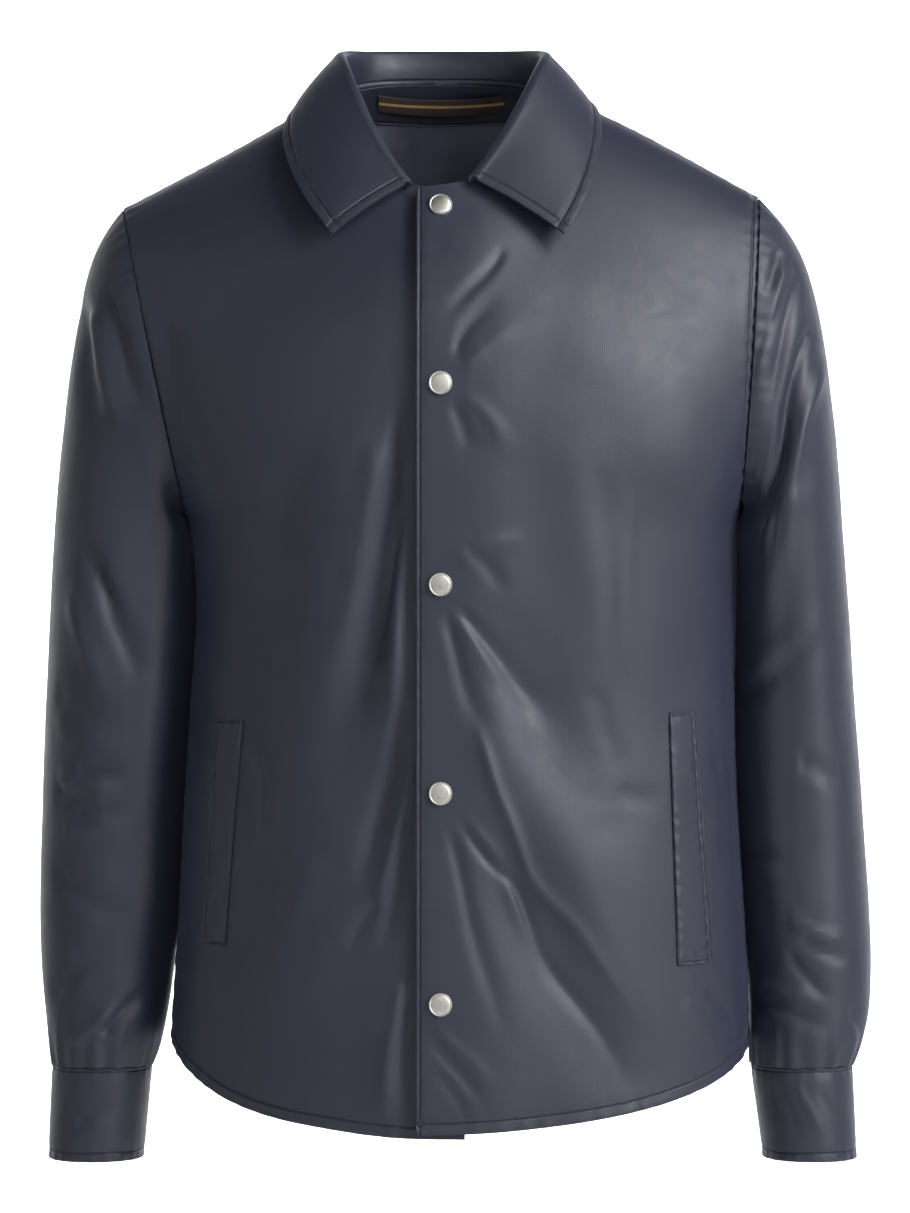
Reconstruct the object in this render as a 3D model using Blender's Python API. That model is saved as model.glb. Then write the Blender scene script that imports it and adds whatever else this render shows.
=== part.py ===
"""Button-front jacket in padded nylon, worn form with no wearer.

+Z is up, the front faces -Y and the wearer's left is at +X. The origin is the middle
of the neck, level with the points where the shoulder seams meet the collar.
Lengths in the tables are millimetres; MM turns them into metres.
"""

import math

import bmesh
import bpy
import numpy as np
from mathutils import Vector
from mathutils.bvhtree import BVHTree

MM = 0.001

# Cloth: shell, light padding and lining make one wall
WALL = 3.0
COLLAR_WALL = 2.0
FACING_WALL = 1.0
WELT_WALL = 1.6
SEAM_GAP = 0.3

# The fronts overlap at the snaps, the wearer's left on top
OVERLAP = 16.0
LAYER_LIFT = 5.8
LIFT_FADE_X = (26.0, 74.0)

# Levels
HEM_Z = -691.0
UNDERARM_Z = -285.0
NECK_FRONT_Z = -69.0
NECK_BACK_Z = 20.0
NECK_SIDE_Z = 3.0
HEM_LIFT = 55.0
HEM_LIFT_FROM_Z = -400.0
HEM_LIFT_POWER = 1.2
HEM_CURVE = {1: (1.8, 1.15), -1: (2.5, 1.7)}

# The front below hangs a little lower beside the overlap
UNDER_FRONT_DROP = 3.0
DROP_FADE_X = (20.0, 90.0)
DROP_FADE_DEPTH = (620.0, 691.0)

# Neck opening
NECK_HALF_WIDTH = 78.0
NECK_FRONT_Y = -84.0
NECK_BACK_Y = 62.0
NECK_CURVE = 2.2
COLLAR_START_X = 21.0

# Grid counts
BODY_COLUMNS = 20
LOWER_ROWS = 14
EDGE_ROWS = 7
NECK_ROWS = 6
RING_POINTS = 2 * (EDGE_ROWS + NECK_ROWS)
RING_SQUARENESS = 2.2


class Table:
    """Rows of named columns, read between the rows on a smooth curve."""

    def __init__(self, names, rows):
        self.columns = {n: np.array(c, float) for n, c in zip(names.split(), zip(*rows))}
        self.key = self.columns[names.split()[0]]

    def at(self, key, name):
        """The column's value at key, which may be an array."""
        values = self.columns[name]
        slopes = np.gradient(values, self.key)
        key = np.clip(np.asarray(key, float), self.key.min(), self.key.max())
        i = np.clip(np.searchsorted(self.key, key) - 1, 0, len(self.key) - 2)
        step = self.key[i + 1] - self.key[i]
        t = (key - self.key[i]) / step
        return (
            (2 * t**3 - 3 * t**2 + 1) * values[i]
            + (t**3 - 2 * t**2 + t) * step * slopes[i]
            + (3 * t**2 - 2 * t**3) * values[i + 1]
            + (t**3 - t**2) * step * slopes[i + 1]
        )


TORSO = Table(
    "z centre_x left_x right_x front_y back_y",
    [
        (-700, 13, 210, -184, -130, 112),
        (-640, 13, 210, -184, -129, 110),
        (-560, 12.5, 207, -179, -127, 107),
        (-480, 12, 202, -175, -125, 104),
        (-400, 13, 200, -170, -124, 103),
        (-340, 14, 201, -166, -125, 107),
        (-285, 12, 202, -172, -127, 112),
        (-200, 6, 202, -190, -126, 116),
        (-130, 2, 202, -200, -116, 113),
        (-69, 0, 200, -200, -84, 102),
        (-20, 0, 200, -200, -60, 84),
        (20, 0, 200, -200, -50, 62),
    ],
)
SIDE_Y = 4.0

# The sleeve's rings: its outer line follows the photo's outline, its inner line the underarm
SLEEVE_NAMES = "ring outer_x outer_z inner_x inner_z middle_y half_depth"
SLEEVES = {
    1: Table(
        SLEEVE_NAMES,
        [
            (0, 216, -66, 202, -285, 4, 66),
            (1, 233, -83, 203.5, -290, 6, 68),
            (2, 248, -107, 204, -296, 9, 70),
            (3, 258, -142, 203.2, -304, 12, 72),
            (4, 266, -192, 202.4, -314, 17, 74),
            (5, 273, -262, 201.8, -328, 23, 74),
            (6, 279, -335, 201.5, -350, 29, 74),
            (7, 283, -400, 200.5, -402, 33, 72),
            (8, 289, -480, 201.5, -480, 34, 69),
            (9, 294, -548, 205, -548, 30, 65),
            (10, 295, -600, 209, -600, 23, 59),
            (11, 291, -633, 210.5, -633, 17, 53),
            (12, 281, -656, 211, -656, 13, 46),
        ],
    ),
    -1: Table(
        SLEEVE_NAMES,
        [
            (0, 216, -74, 172, -285, 4, 66),
            (1, 228, -88, 173.3, -290, 6, 67),
            (2, 240, -112, 173.8, -296, 8, 68),
            (3, 248, -146, 171.8, -304, 11, 68),
            (4, 256, -195, 168.6, -314, 15, 68),
            (5, 262.5, -262, 166.6, -328, 20, 68),
            (6, 267.5, -335, 166.2, -350, 24, 67),
            (7, 270.5, -400, 170, -402, 27, 66),
            (8, 273.5, -480, 174.8, -480, 28, 64),
            (9, 275, -548, 178.8, -548, 25, 61),
            (10, 273, -600, 183.2, -600, 20, 56),
            (11, 269, -633, 188.5, -633, 16, 51),
            (12, 265.5, -656, 196.5, -656, 13, 45),
        ],
    ),
}
CUFFS = {
    1: Table(SLEEVE_NAMES, [(0, 281, -656, 211, -656, 13, 46), (1, 283.5, -719, 219, -719, 9, 44)]),
    -1: Table(
        SLEEVE_NAMES, [(0, 265.5, -656, 196.5, -656, 13, 45), (1, 267.5, -719, 202.5, -719, 9, 44)]
    ),
}
SLEEVE_ROWS = (0, 0.6, 1.2, 2, 3, 4, 5, 6, 7, 7.6, 8.3, 9, 9.7, 10.4, 11.2, 12)
CUFF_ROWS = (0, 0.33, 0.66, 1)

# How a panel's rows reach the armhole: direction of travel and pull at each end
ARRIVAL = Table(
    "angle x y z pull_start pull_end",
    [
        (0, 0.88, 0.04, -0.47, 0.33, 0.33),
        (30, 0.88, 0.10, -0.44, 0.34, 0.32),
        (60, 0.86, 0.32, -0.32, 0.36, 0.30),
        (90, 0.76, 0.55, -0.20, 0.40, 0.28),
        (120, 0.55, 0.78, -0.10, 0.46, 0.28),
        (150, 0.25, 0.95, -0.04, 0.50, 0.30),
        (180, 0.0, 1.0, 0.0, 0.53, 0.32),
    ],
)
NECK_SLOPE = -0.34
SHOULDER_SLOPE = {1: -0.36, -1: -0.66}

# The armhole's wall leans out to the sleeve, most at the shoulder
ARMHOLE_LEAN_TOP = 0.48
ARMHOLE_LEAN_SIDES = 0.12
SAME_PLACE = 0.05

# Largest folds, seen from the front or the back: x and z of both ends, width and height, which
# is below 0 for a trough
FOLD_TAPER = 0.8
SLEEVE_BACK_STRETCH = 1.03
FRONT_FOLDS = {
    1: [
        (22, -400, 145, -640, 17, 6.0),
        (8, -468, 142, -690, 18, -6.0),
        (6, -330, 90, -440, 16, -5.5),
        (2, -345, 36, -450, 14, 4.5),
        (2, -170, 56, -120, 16, -4.0),
        (60, -190, 130, -400, 24, 3.5),
        (188, -330, 150, -440, 20, -4.0),
        (70, -470, 150, -560, 20, 4.0),
    ],
    -1: [
        (-22, -190, -72, -460, 16, -5.5),
        (-50, -210, -95, -480, 20, 5.0),
        (-18, -250, -38, -460, 15, 4.5),
        (-22, -400, -62, -570, 15, -4.5),
        (-50, -500, -110, -640, 20, 4.0),
        (-28, -580, -40, -700, 15, 4.5),
        (-150, -320, -120, -450, 22, -4.0),
    ],
}
FOLDS_FROM_X = {1: (15, 34), -1: (14, 32)}
BACK_FOLDS = [
    (-60, -60, -150, -300, 24, -4.5),
    (60, -60, 150, -300, 24, -4.5),
    (-120, -300, -60, -560, 24, 4.5),
    (130, -320, 60, -600, 24, 4.5),
    (0, -250, 14, -640, 28, -5.0),
]
SLEEVE_FOLDS = {
    1: [
        (262, -130, 210, -300, 15, -5.5),
        (272, -180, 214, -340, 15, 4.5),
        (284, -330, 206, -430, 16, -4.5),
        (208, -460, 292, -520, 16, -5.0),
        (292, -470, 226, -560, 15, 4.5),
        (214, -590, 292, -620, 14, -4.5),
    ],
    -1: [
        (-250, -130, -190, -330, 16, -5.0),
        (-262, -300, -186, -430, 16, 5.0),
        (-268, -330, -190, -400, 15, -4.5),
        (-272, -480, -180, -490, 16, -5.0),
        (-268, -430, -190, -450, 15, 4.0),
        (-270, -610, -190, -585, 14, -4.5),
    ],
}

# Collar: where it rolls over and where its outer edge lies, from the front end to centre back
COLLAR = Table(
    "k roll_x roll_y roll_z left_x right_x edge_y edge_z",
    [
        (1, 22, -87, -63, 80, -73, -105, -99),
        (2, 40, -75, -38, 91, -87, -94, -81),
        (3, 54, -58, -9, 99, -98, -77, -62),
        (4, 63, -39, 12, 104, -105, -57, -43),
        (5, 68, -19, 25, 106, -108, -34, -23),
        (6, 70.5, 1, 31, 103.5, -102, -6, -8),
        (7, 68.5, 19, 34, 98, -94, 24, -2.5),
        (8, 62, 36, 36, 91, -88, 49, -3),
        (9, 53, 50, 37, 77, -74, 68, -9),
        (10, 38, 60, 38, 56, -54, 82, -14),
        (11, 20, 66, 38.5, 29, -28, 90, -18),
        (12, 0, 68, 38.5, 0, 0, 93, -19.5),
    ],
)
COLLAR_SHIFT = 1.5
COLLAR_END_IN = 1.5
ROLL_RADIUS = 2.8
ROLL_TURNS = (180, 135, 90, 45, 0)
STAND_MIDDLE = 0.55
STAND_HOLLOW = 0.4
FALL_SHARES = (0.2, 0.42, 0.64, 0.84, 1.0)
FALL_CROWN = 5.0
FALL_CLEAR = COLLAR_WALL + 1.3
FRONT_END_KS = 5
FRONT_WAY_OUT = (0, -0.88, 0.47)
EDGE_X = {1: "left_x", -1: "right_x"}

# Snaps down the front: the cap, the stud between the fronts and the post inside
SNAP_Z = (-79.0, -198.0, -330.0, -467.0, -605.0)
CAP_RADIUS = 7.6
CAP_HEIGHT = 2.4
CAP_RIM_SHARE = 0.45
CAP_DOME = (30, 60)
STUD_RADIUS = 5.4
STUD_HEIGHT = LAYER_LIFT - WALL - 4.5 * SEAM_GAP
STUD_STEPS = 16
POST_RADIUS = 5.8
POST_HEIGHT = 1.4
POST_TOP_SHARE = 0.8

# Pocket welts, from the photo: x and z of the top inner, top outer, low outer and low inner corner
WELT_CORNERS = {
    1: ((150, -415), (168, -414), (179, -582), (155.5, -583)),
    -1: ((-130, -420), (-150.5, -419), (-158.5, -570), (-142, -571)),
}
WELT_STEPS = (14, 4)

# The band inside the back neck and the hanger tape on it
FACING_DEPTH = 34.0
FACING_SHARES = (0.06, 0.36, 0.68, 1.0)
TAPE_SIZE = (88.0, 11.0, 0.9)
TAPE_TOP_Z = 9.5
TAPE_BOW = 2.2
TAPE_STEPS = 8

# A piece laid on cloth lies this far off it
LAID_GAP = 1.7 * SEAM_GAP
SNAP_GAP = 1.5 * SEAM_GAP
STUD_GAP = 1.2 * SEAM_GAP
TAPE_GAP = 2.2 * SEAM_GAP

# Rays start here, ahead of the front and inside the neck
AHEAD_Y = -300.0
NECK_INSIDE_Y = -20.0

COLOURS = {
    "nylon": ((0.030, 0.033, 0.048), 0.42, 0.0),
    "facing": ((0.014, 0.015, 0.020), 0.5, 0.0),
    "tape": ((0.045, 0.028, 0.018), 0.8, 0.0),
    "steel": ((0.62, 0.61, 0.58), 0.28, 1.0),
}


def unit(v):
    """v at length 1; the last axis holds x, y, z."""
    return v / np.maximum(np.linalg.norm(v, axis=-1, keepdims=True), 1e-9)


def smooth_step(x, start, end):
    """0 before start, 1 after end, and smooth between."""
    t = np.clip((x - start) / (end - start), 0, 1)
    return t * t * (3 - 2 * t)


def layer_lift(x):
    """How far the front on top stands off the one below it."""
    return LAYER_LIFT * (1 - smooth_step(x, *LIFT_FADE_X))


def ring_shape(angle):
    """Cosine and sine of a slightly square oval."""
    power = 2 / RING_SQUARENESS
    c, s = np.cos(angle), np.sin(angle)
    return np.sign(c) * np.abs(c) ** power, np.sign(s) * np.abs(s) ** power


def sleeve_ring(table, side, ring, degrees):
    """Points of a sleeve or cuff ring: 0 degrees is the outer line, 90 the front, 180 the underarm."""
    c, s = ring_shape(np.radians(degrees))
    outer = np.array([table.at(ring, "outer_x"), table.at(ring, "outer_z")])
    inner = np.array([table.at(ring, "inner_x"), table.at(ring, "inner_z")])
    middle, half = (outer + inner) / 2, (outer - inner) / 2
    x = side * (middle[0] + half[0] * c)
    y = table.at(ring, "middle_y") - table.at(ring, "half_depth") * s
    return np.stack([x, y, middle[1] + half[1] * c], axis=-1)


def neckline(side, k, back):
    """The neck edge: k is 0 at the front or back middle and NECK_ROWS at the shoulder."""
    turn = math.radians(90) * np.asarray(k, float) / NECK_ROWS
    if back:
        x = NECK_HALF_WIDTH * np.sin(turn)
        y = NECK_BACK_Y * np.cos(turn)
        z = NECK_BACK_Z - (NECK_BACK_Z - NECK_SIDE_Z) * (x / NECK_HALF_WIDTH) ** 4
    else:
        start = math.asin(COLLAR_START_X / NECK_HALF_WIDTH)
        turn = start + (math.radians(90) - start) * (np.asarray(k, float) - 1) / (NECK_ROWS - 1)
        x = NECK_HALF_WIDTH * np.sin(turn)
        y = NECK_FRONT_Y * np.cos(turn)
        rise = np.abs(x / NECK_HALF_WIDTH) ** NECK_CURVE
        z = NECK_FRONT_Z + (NECK_SIDE_Z - NECK_FRONT_Z) * rise
        corner = np.asarray(k, float) < 1
        x = np.where(corner, x * k - OVERLAP * (1 - np.minimum(k, 1)), x)
        y = np.where(corner, NECK_FRONT_Y * (1 - k) + y * k, y)
        z = np.where(corner, NECK_FRONT_Z * (1 - k) + z * k, z)
    return np.array([side * x, y, z])


def row_ends(side, row, back):
    """Both ends of one row of a body panel, its ways out and in, and its pulls.

    Rows run from the front edge or centre back to the side seam, then the armhole.
    """
    y_name = "back_y" if back else "front_y"
    middle_x = 0.0 if back else -OVERLAP
    lift, angle = 0.0, 180.0
    if row <= LOWER_ROWS:
        z = HEM_Z + (UNDERARM_Z - HEM_Z) * row / LOWER_ROWS
        low = max(0.0, (HEM_LIFT_FROM_Z - z) / (HEM_LIFT_FROM_Z - HEM_Z))
        lift = HEM_LIFT * low**HEM_LIFT_POWER
        start = np.array([side * middle_x, TORSO.at(z, y_name), z])
        if back:
            start[0] = TORSO.at(z, "centre_x")
        side_x = TORSO.at(z + lift, "left_x" if side > 0 else "right_x")
        end = np.array([side_x, SIDE_Y, z + lift])
        slope = 0.0
    else:
        top = NECK_BACK_Z if back else NECK_FRONT_Z
        up = (row - LOWER_ROWS) / EDGE_ROWS
        angle = 180.0 * (1 - (row - LOWER_ROWS) / (EDGE_ROWS + NECK_ROWS))
        z = UNDERARM_Z + (top - UNDERARM_Z) * min(up, 1.0)
        slope = NECK_SLOPE * smooth_step(up, 0, 1)
        start = np.array([side * middle_x, TORSO.at(z, y_name), z])
        if back:
            start[0] = TORSO.at(z, "centre_x")
        if row > LOWER_ROWS + EDGE_ROWS:
            start = neckline(side, row - LOWER_ROWS - EDGE_ROWS, back)
        end = sleeve_ring(SLEEVES[side], side, 0, -angle if back else angle)
    fall = (TORSO.at(z, y_name) - TORSO.at(z - 1, y_name)) * slope
    way_out = unit(np.array([1.0, fall, slope]))
    past_neck = np.clip((row - LOWER_ROWS - EDGE_ROWS) / NECK_ROWS, 0, 1)
    shoulder_way = unit(np.array([1.0, 0.05, SHOULDER_SLOPE[side]]))
    way_out = unit(way_out * (1 - past_neck) + shoulder_way * past_neck)
    way_in = unit(np.array([ARRIVAL.at(angle, axis) for axis in "xyz"]))
    if back:
        turned = smooth_step(angle, 0, 30)
        way_in[1] *= 1 - 2 * turned
    way_out[0] *= side
    way_in[0] *= side
    pulls = [ARRIVAL.at(angle, name) for name in ("pull_start", "pull_end")]
    return start, end, unit(way_out), unit(way_in), pulls, lift


def body_row(side, row, t, back):
    """Points along one row of a body panel, t from 0 at the middle to 1 at the side."""
    start, end, way_out, way_in, pulls, lift = row_ends(side, row, back)
    chord = np.linalg.norm(end - start)
    p1 = start + way_out * chord * pulls[0]
    p2 = end - way_in * chord * pulls[1]
    t = np.asarray(t, float)[:, None]
    points = (
        (1 - t) ** 3 * start + 3 * (1 - t) ** 2 * t * p1 + 3 * (1 - t) * t**2 * p2 + t**3 * end
    )
    if row <= LOWER_ROWS:
        early, late = HEM_CURVE[side]
        points[:, 2] = start[2] + lift * (1 - (1 - t[:, 0] ** early) ** late)
    return points


def fold_lift(points, normals, folds, facing):
    """How far the folds raise each point along its normal; facing is -1 for the front."""
    lift = np.zeros(points.shape[:-1])
    for x0, z0, x1, z1, width, height in folds:
        along = np.array([x1 - x0, z1 - z0], float)
        length = np.linalg.norm(along)
        along /= length
        offset = points[..., (0, 2)] - np.array([x0, z0])
        share = np.clip(offset @ along / length, 0, 1)
        across = offset @ np.array([-along[1], along[0]])
        ends = np.sin(math.pi * share) ** FOLD_TAPER
        lift += height * np.exp(-((across / width) ** 2)) * ends
    return lift * np.clip(facing * normals[..., 1], 0, 1)


def grid_faces(rows, columns, closed=False, flip=False, first=0):
    """Quads of a grid of points numbered row by row."""
    faces = []
    for i in range(rows - 1):
        for j in range(columns if closed else columns - 1):
            a, b = i * columns + j, i * columns + (j + 1) % columns
            face = (a, b, b + columns, a + columns)
            faces.append(tuple(first + n for n in (reversed(face) if flip else face)))
    return faces


def surface_normals(points, faces):
    """Unit normal at each point, from the faces round it."""
    normals = np.zeros_like(points)
    for face in faces:
        p = points[list(face)]
        across = np.cross(p[2] - p[0], p[3] - p[1])
        for n in face:
            normals[n] += across
    return unit(normals)


class Panel:
    """One piece of cloth: the points of its visible side, its faces and its normals."""

    def __init__(self, name, points, faces, fixed=None):
        self.name = name
        self.points = np.asarray(points, float)
        self.faces = faces
        self.normals = surface_normals(self.points, faces)
        self.fixed = fixed or {}

    def raise_by(self, lift):
        """Moves the visible side along its normals."""
        self.points = self.points + self.normals * lift[:, None]
        self.normals = surface_normals(self.points, self.faces)

    def on_edge(self):
        """Points on the panel's edge, which stay on the seam lines."""
        edge = np.zeros(len(self.points), bool)
        for a, b in edge_pairs(self.faces):
            edge[[a, b]] = True
        return edge


def edge_pairs(faces):
    """The edges that only one face has, each in that face's direction."""
    seen = {(f[i], f[(i + 1) % len(f)]) for f in faces for i in range(len(f))}
    return [(a, b) for a, b in seen if (b, a) not in seen]


def place_keys(points):
    """A key for each point that is the same for points in one place."""
    return [tuple(place) for place in np.round(points + 0.0013, 2)]


def share_normals(panels):
    """Gives panels the same normals where they meet, so that their walls end on one line."""
    total = {}
    for panel in panels:
        for place, normal in zip(place_keys(panel.points), panel.normals):
            total[place] = total.get(place, 0) + normal
    for panel in panels:
        for i, place in enumerate(place_keys(panel.points)):
            panel.normals[i] = unit(total[place])
        for i, normal in panel.fixed.items():
            panel.normals[i] = unit(np.asarray(normal, float))


def edge_inset(panel, distance):
    """Moves that draw the panel's edges in by distance, square to each edge."""
    inward = {}
    for a, b in edge_pairs(panel.faces):
        for n in (a, b):
            way = unit(np.cross(panel.normals[n], panel.points[b] - panel.points[a]))
            inward.setdefault(n, []).append(way)
    moves = np.zeros_like(panel.points)
    for n, ways in inward.items():
        total = sum(ways)
        moves[n] = total / max(float(total @ ways[0]), 0.5) * distance
    return moves


def cloth(panel, wall, material, collection):
    """A closed wall of cloth behind the panel's visible side, its edges half a seam gap in."""
    moves = edge_inset(panel, SEAM_GAP / 2)
    outside = panel.points + moves
    inside = outside - panel.normals * wall
    count = len(outside)
    faces = list(panel.faces)
    faces += [tuple(n + count for n in reversed(f)) for f in panel.faces]
    for a, b in edge_pairs(panel.faces):
        if tuple(panel.points[a]) < tuple(panel.points[b]):
            faces += [(b, a, a + count), (b, a + count, b + count)]
        else:
            faces += [(b, a, b + count), (a, a + count, b + count)]
    return add_mesh(panel.name, np.vstack([outside, inside]), faces, material, collection)


def add_mesh(name, points, faces, material, collection):
    """An object from points in millimetres."""
    mesh = bpy.data.meshes.new(name)
    mesh.from_pydata([tuple(p) for p in points * MM], [], faces)
    mesh.validate()
    mesh.materials.append(material)
    mesh.shade_smooth()
    thing = bpy.data.objects.new(name, mesh)
    collection.objects.link(thing)
    return thing


def make_material(name):
    colour, roughness, metallic = COLOURS[name]
    material = bpy.data.materials.new(name)
    material.use_nodes = True
    shader = material.node_tree.nodes["Principled BSDF"]
    shader.inputs["Base Color"].default_value = (*colour, 1)
    shader.inputs["Roughness"].default_value = roughness
    shader.inputs["Metallic"].default_value = metallic
    material.diffuse_color = (*colour, 1)
    return material


def armhole_normals(panel_points, side):
    """Fixed normals for the points that lie on the armhole: out from its middle."""
    fixed = {}
    for degrees in np.arange(0, 360, 360 / RING_POINTS):
        place = sleeve_ring(SLEEVES[side], side, 0, degrees)
        c, s = math.cos(math.radians(degrees)), math.sin(math.radians(degrees))
        lean = ARMHOLE_LEAN_TOP * (1 + c) / 2 + ARMHOLE_LEAN_SIDES * s * s
        normal = (side * lean, -s, c)
        near = np.linalg.norm(panel_points - place, axis=1) < SAME_PLACE
        for i in np.flatnonzero(near):
            fixed[int(i)] = normal
    return fixed


def front_panel(side):
    """One front, from its edge to the side seam, armhole, neck and shoulder."""
    rows = LOWER_ROWS + EDGE_ROWS + NECK_ROWS
    t = np.linspace(0, 1, BODY_COLUMNS + 1)
    points = np.vstack([body_row(side, row, t, False) for row in range(rows + 1)])
    if side < 0:
        drop = UNDER_FRONT_DROP * (1 - smooth_step(np.abs(points[:, 0]), *DROP_FADE_X))
        points[:, 2] -= drop * smooth_step(-points[:, 2], *DROP_FADE_DEPTH)
    faces = grid_faces(rows + 1, BODY_COLUMNS + 1, flip=side < 0)
    name = "front_left" if side > 0 else "front_right"
    panel = Panel(name, points, faces, armhole_normals(points, side))
    lift = fold_lift(panel.points, panel.normals, FRONT_FOLDS[side], -1)
    lift *= smooth_step(side * points[:, 0], *FOLDS_FROM_X[side])
    lift[panel.on_edge()] = 0
    if side > 0:
        lift += layer_lift(points[:, 0])
    panel.raise_by(lift)
    return panel


def back_panel():
    """The back in one piece: two halves that share the centre back line."""
    rows = LOWER_ROWS + EDGE_ROWS + NECK_ROWS
    t = np.linspace(0, 1, BODY_COLUMNS + 1)
    halves = []
    for side in (1, -1):
        halves.append(np.vstack([body_row(side, row, t, True) for row in range(rows + 1)]))
    count = len(halves[0])
    faces = grid_faces(rows + 1, BODY_COLUMNS + 1, flip=True)
    faces += grid_faces(rows + 1, BODY_COLUMNS + 1, first=count)
    shared = {}
    for row in range(LOWER_ROWS + EDGE_ROWS + 1):
        start = row * (BODY_COLUMNS + 1)
        shared[start + count] = start
    keep = [n for n in range(2 * count) if n not in shared]
    number = {old: new for new, old in enumerate(keep)}
    number.update({old: number[new] for old, new in shared.items()})
    faces = [tuple(number[n] for n in face) for face in faces]
    points = np.vstack(halves)[keep]
    fixed = {**armhole_normals(points, 1), **armhole_normals(points, -1)}
    panel = Panel("back", points, faces, fixed)
    lift = fold_lift(panel.points, panel.normals, BACK_FOLDS, 1)
    lift[panel.on_edge()] = 0
    panel.raise_by(lift)
    return panel


def tube_panel(name, table, side, rows, folds=()):
    """A sleeve or a cuff: rings joined down the arm."""
    degrees = np.arange(RING_POINTS) * 360 / RING_POINTS
    points = np.vstack([sleeve_ring(table, side, row, degrees) for row in rows])
    faces = grid_faces(len(rows), RING_POINTS, closed=True, flip=side < 0)
    fixed = armhole_normals(points, side)
    panel = Panel(name, points, faces, fixed)
    lift = fold_lift(points, panel.normals, folds, -1)
    lift += fold_lift(points * (1, 1, SLEEVE_BACK_STRETCH), panel.normals, folds, 1)
    lift[panel.on_edge()] = 0
    panel.raise_by(lift)
    return panel


def tree_of(panels):
    """A search tree of the panels' visible sides, for laying pieces on them."""
    points, faces = [], []
    for panel in panels:
        faces += [tuple(n + len(points) for n in face) for face in panel.faces]
        points += [Vector(p) for p in panel.points]
    return BVHTree.FromPolygons(points, faces)


def held_off(tree, point, distance):
    """The point, moved out if it is closer to the cloth than distance."""
    place, normal, _, _ = tree.find_nearest(Vector(point))
    height = (Vector(point) - place).dot(normal)
    if height >= distance:
        return np.array(point)
    return np.array(place + normal * distance)


def laid_on(tree, point, lift):
    """The nearest place on the cloth, lifted along its normal."""
    place, normal, _, _ = tree.find_nearest(Vector(point))
    return np.array(place + normal * lift), np.array(normal)


def neck_edge_points(panel, side, back):
    """The panel's points along its neck edge, from the collar's start to the shoulder."""
    rows = LOWER_ROWS + EDGE_ROWS + NECK_ROWS
    if not back:
        first = LOWER_ROWS + EDGE_ROWS + 1
        return [row * (BODY_COLUMNS + 1) for row in range(first, rows + 1)]
    found = []
    for k in range(NECK_ROWS + 1):
        place = neckline(side, k, True)
        found.append(int(np.argmin(np.linalg.norm(panel.points - place, axis=1))))
    return found


def collar_panel(fronts, back, body_tree):
    """The collar: stand, roll and fall in one piece, sewn to the neck edge."""
    columns = []
    for side in (-1, 1):
        half = [(fronts[side], n) for n in neck_edge_points(fronts[side], side, False)]
        half += [(back, n) for n in reversed(neck_edge_points(back, side, True)[:-1])]
        columns.append([(side, k + 1, *entry) for k, entry in enumerate(half)])
    order = columns[0] + list(reversed(columns[1][:-1]))
    grid, base_normals = [], []
    for side, k, panel, n in order:
        roll = np.array([COLLAR.at(k, "roll_" + axis) for axis in "xyz"])
        edge = [COLLAR.at(k, name) for name in (EDGE_X[side], "edge_y", "edge_z")]
        if side > 0 and k < FRONT_END_KS:
            roll += np.array(FRONT_WAY_OUT) * layer_lift(roll[0])
        roll[0] = side * roll[0] + COLLAR_SHIFT * smooth_step(k, 2, NECK_ROWS)
        edge = np.array(edge) + (COLLAR_SHIFT, 0, 0)
        seam = panel.points[n]
        rise = unit(roll - seam)
        out = edge - roll
        out[2] = 0
        out = unit(out)
        stand_out = unit(out - rise * (out @ rise))
        wall_way = unit(panel.normals[n] + stand_out)
        panel.fixed[n] = wall_way
        up = unit(rise - wall_way * (rise @ wall_way))
        foot = seam + up * LAID_GAP - wall_way * (COLLAR_WALL + SEAM_GAP)
        foot[0] += side * COLLAR_END_IN * (k == 1)
        centre = roll - np.array([0, 0, ROLL_RADIUS])
        bend = [
            centre + out * ROLL_RADIUS * math.cos(a) + np.array([0, 0, ROLL_RADIUS]) * math.sin(a)
            for a in np.radians(ROLL_TURNS)
        ]
        middle = foot * (1 - STAND_MIDDLE) + bend[0] * STAND_MIDDLE - out * STAND_HOLLOW
        column = [foot, middle, *bend]
        for share in FALL_SHARES:
            place = bend[-1] * (1 - share) + edge * share
            place = place + (out + np.array([0, 0, 1])) * FALL_CROWN * share * (1 - share)
            column.append(held_off(body_tree, place, FALL_CLEAR))
        grid.append(column)
        base_normals.append(-wall_way)
    rows = len(grid[0])
    points = np.array([p for column in grid for p in column])
    faces = grid_faces(len(grid), rows)
    panel = Panel("collar", points, faces)
    for i, normal in enumerate(base_normals):
        panel.fixed[i * rows] = normal
    share_normals([panel])
    return panel


def welt_panel(side, body_tree):
    """A pocket welt, laid on the front from its four corners."""
    top_in, top_out, low_out, low_in = (np.array(c, float) for c in WELT_CORNERS[side])
    down, across = WELT_STEPS
    points, normals = [], []
    for i in range(down + 1):
        for j in range(across + 1):
            a = top_in + (top_out - top_in) * j / across
            b = low_in + (low_out - low_in) * j / across
            x, z = a + (b - a) * i / down
            place, normal, _, _ = body_tree.ray_cast(Vector((x, AHEAD_Y, z)), Vector((0, 1, 0)))
            points.append(np.array(place + normal * (LAID_GAP + WELT_WALL)))
            normals.append(np.array(normal))
    name = "pocket_welt_left" if side > 0 else "pocket_welt_right"
    panel = Panel(name, points, grid_faces(down + 1, across + 1, flip=side > 0))
    panel.fixed = dict(enumerate(normals))
    share_normals([panel])
    return panel


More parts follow.
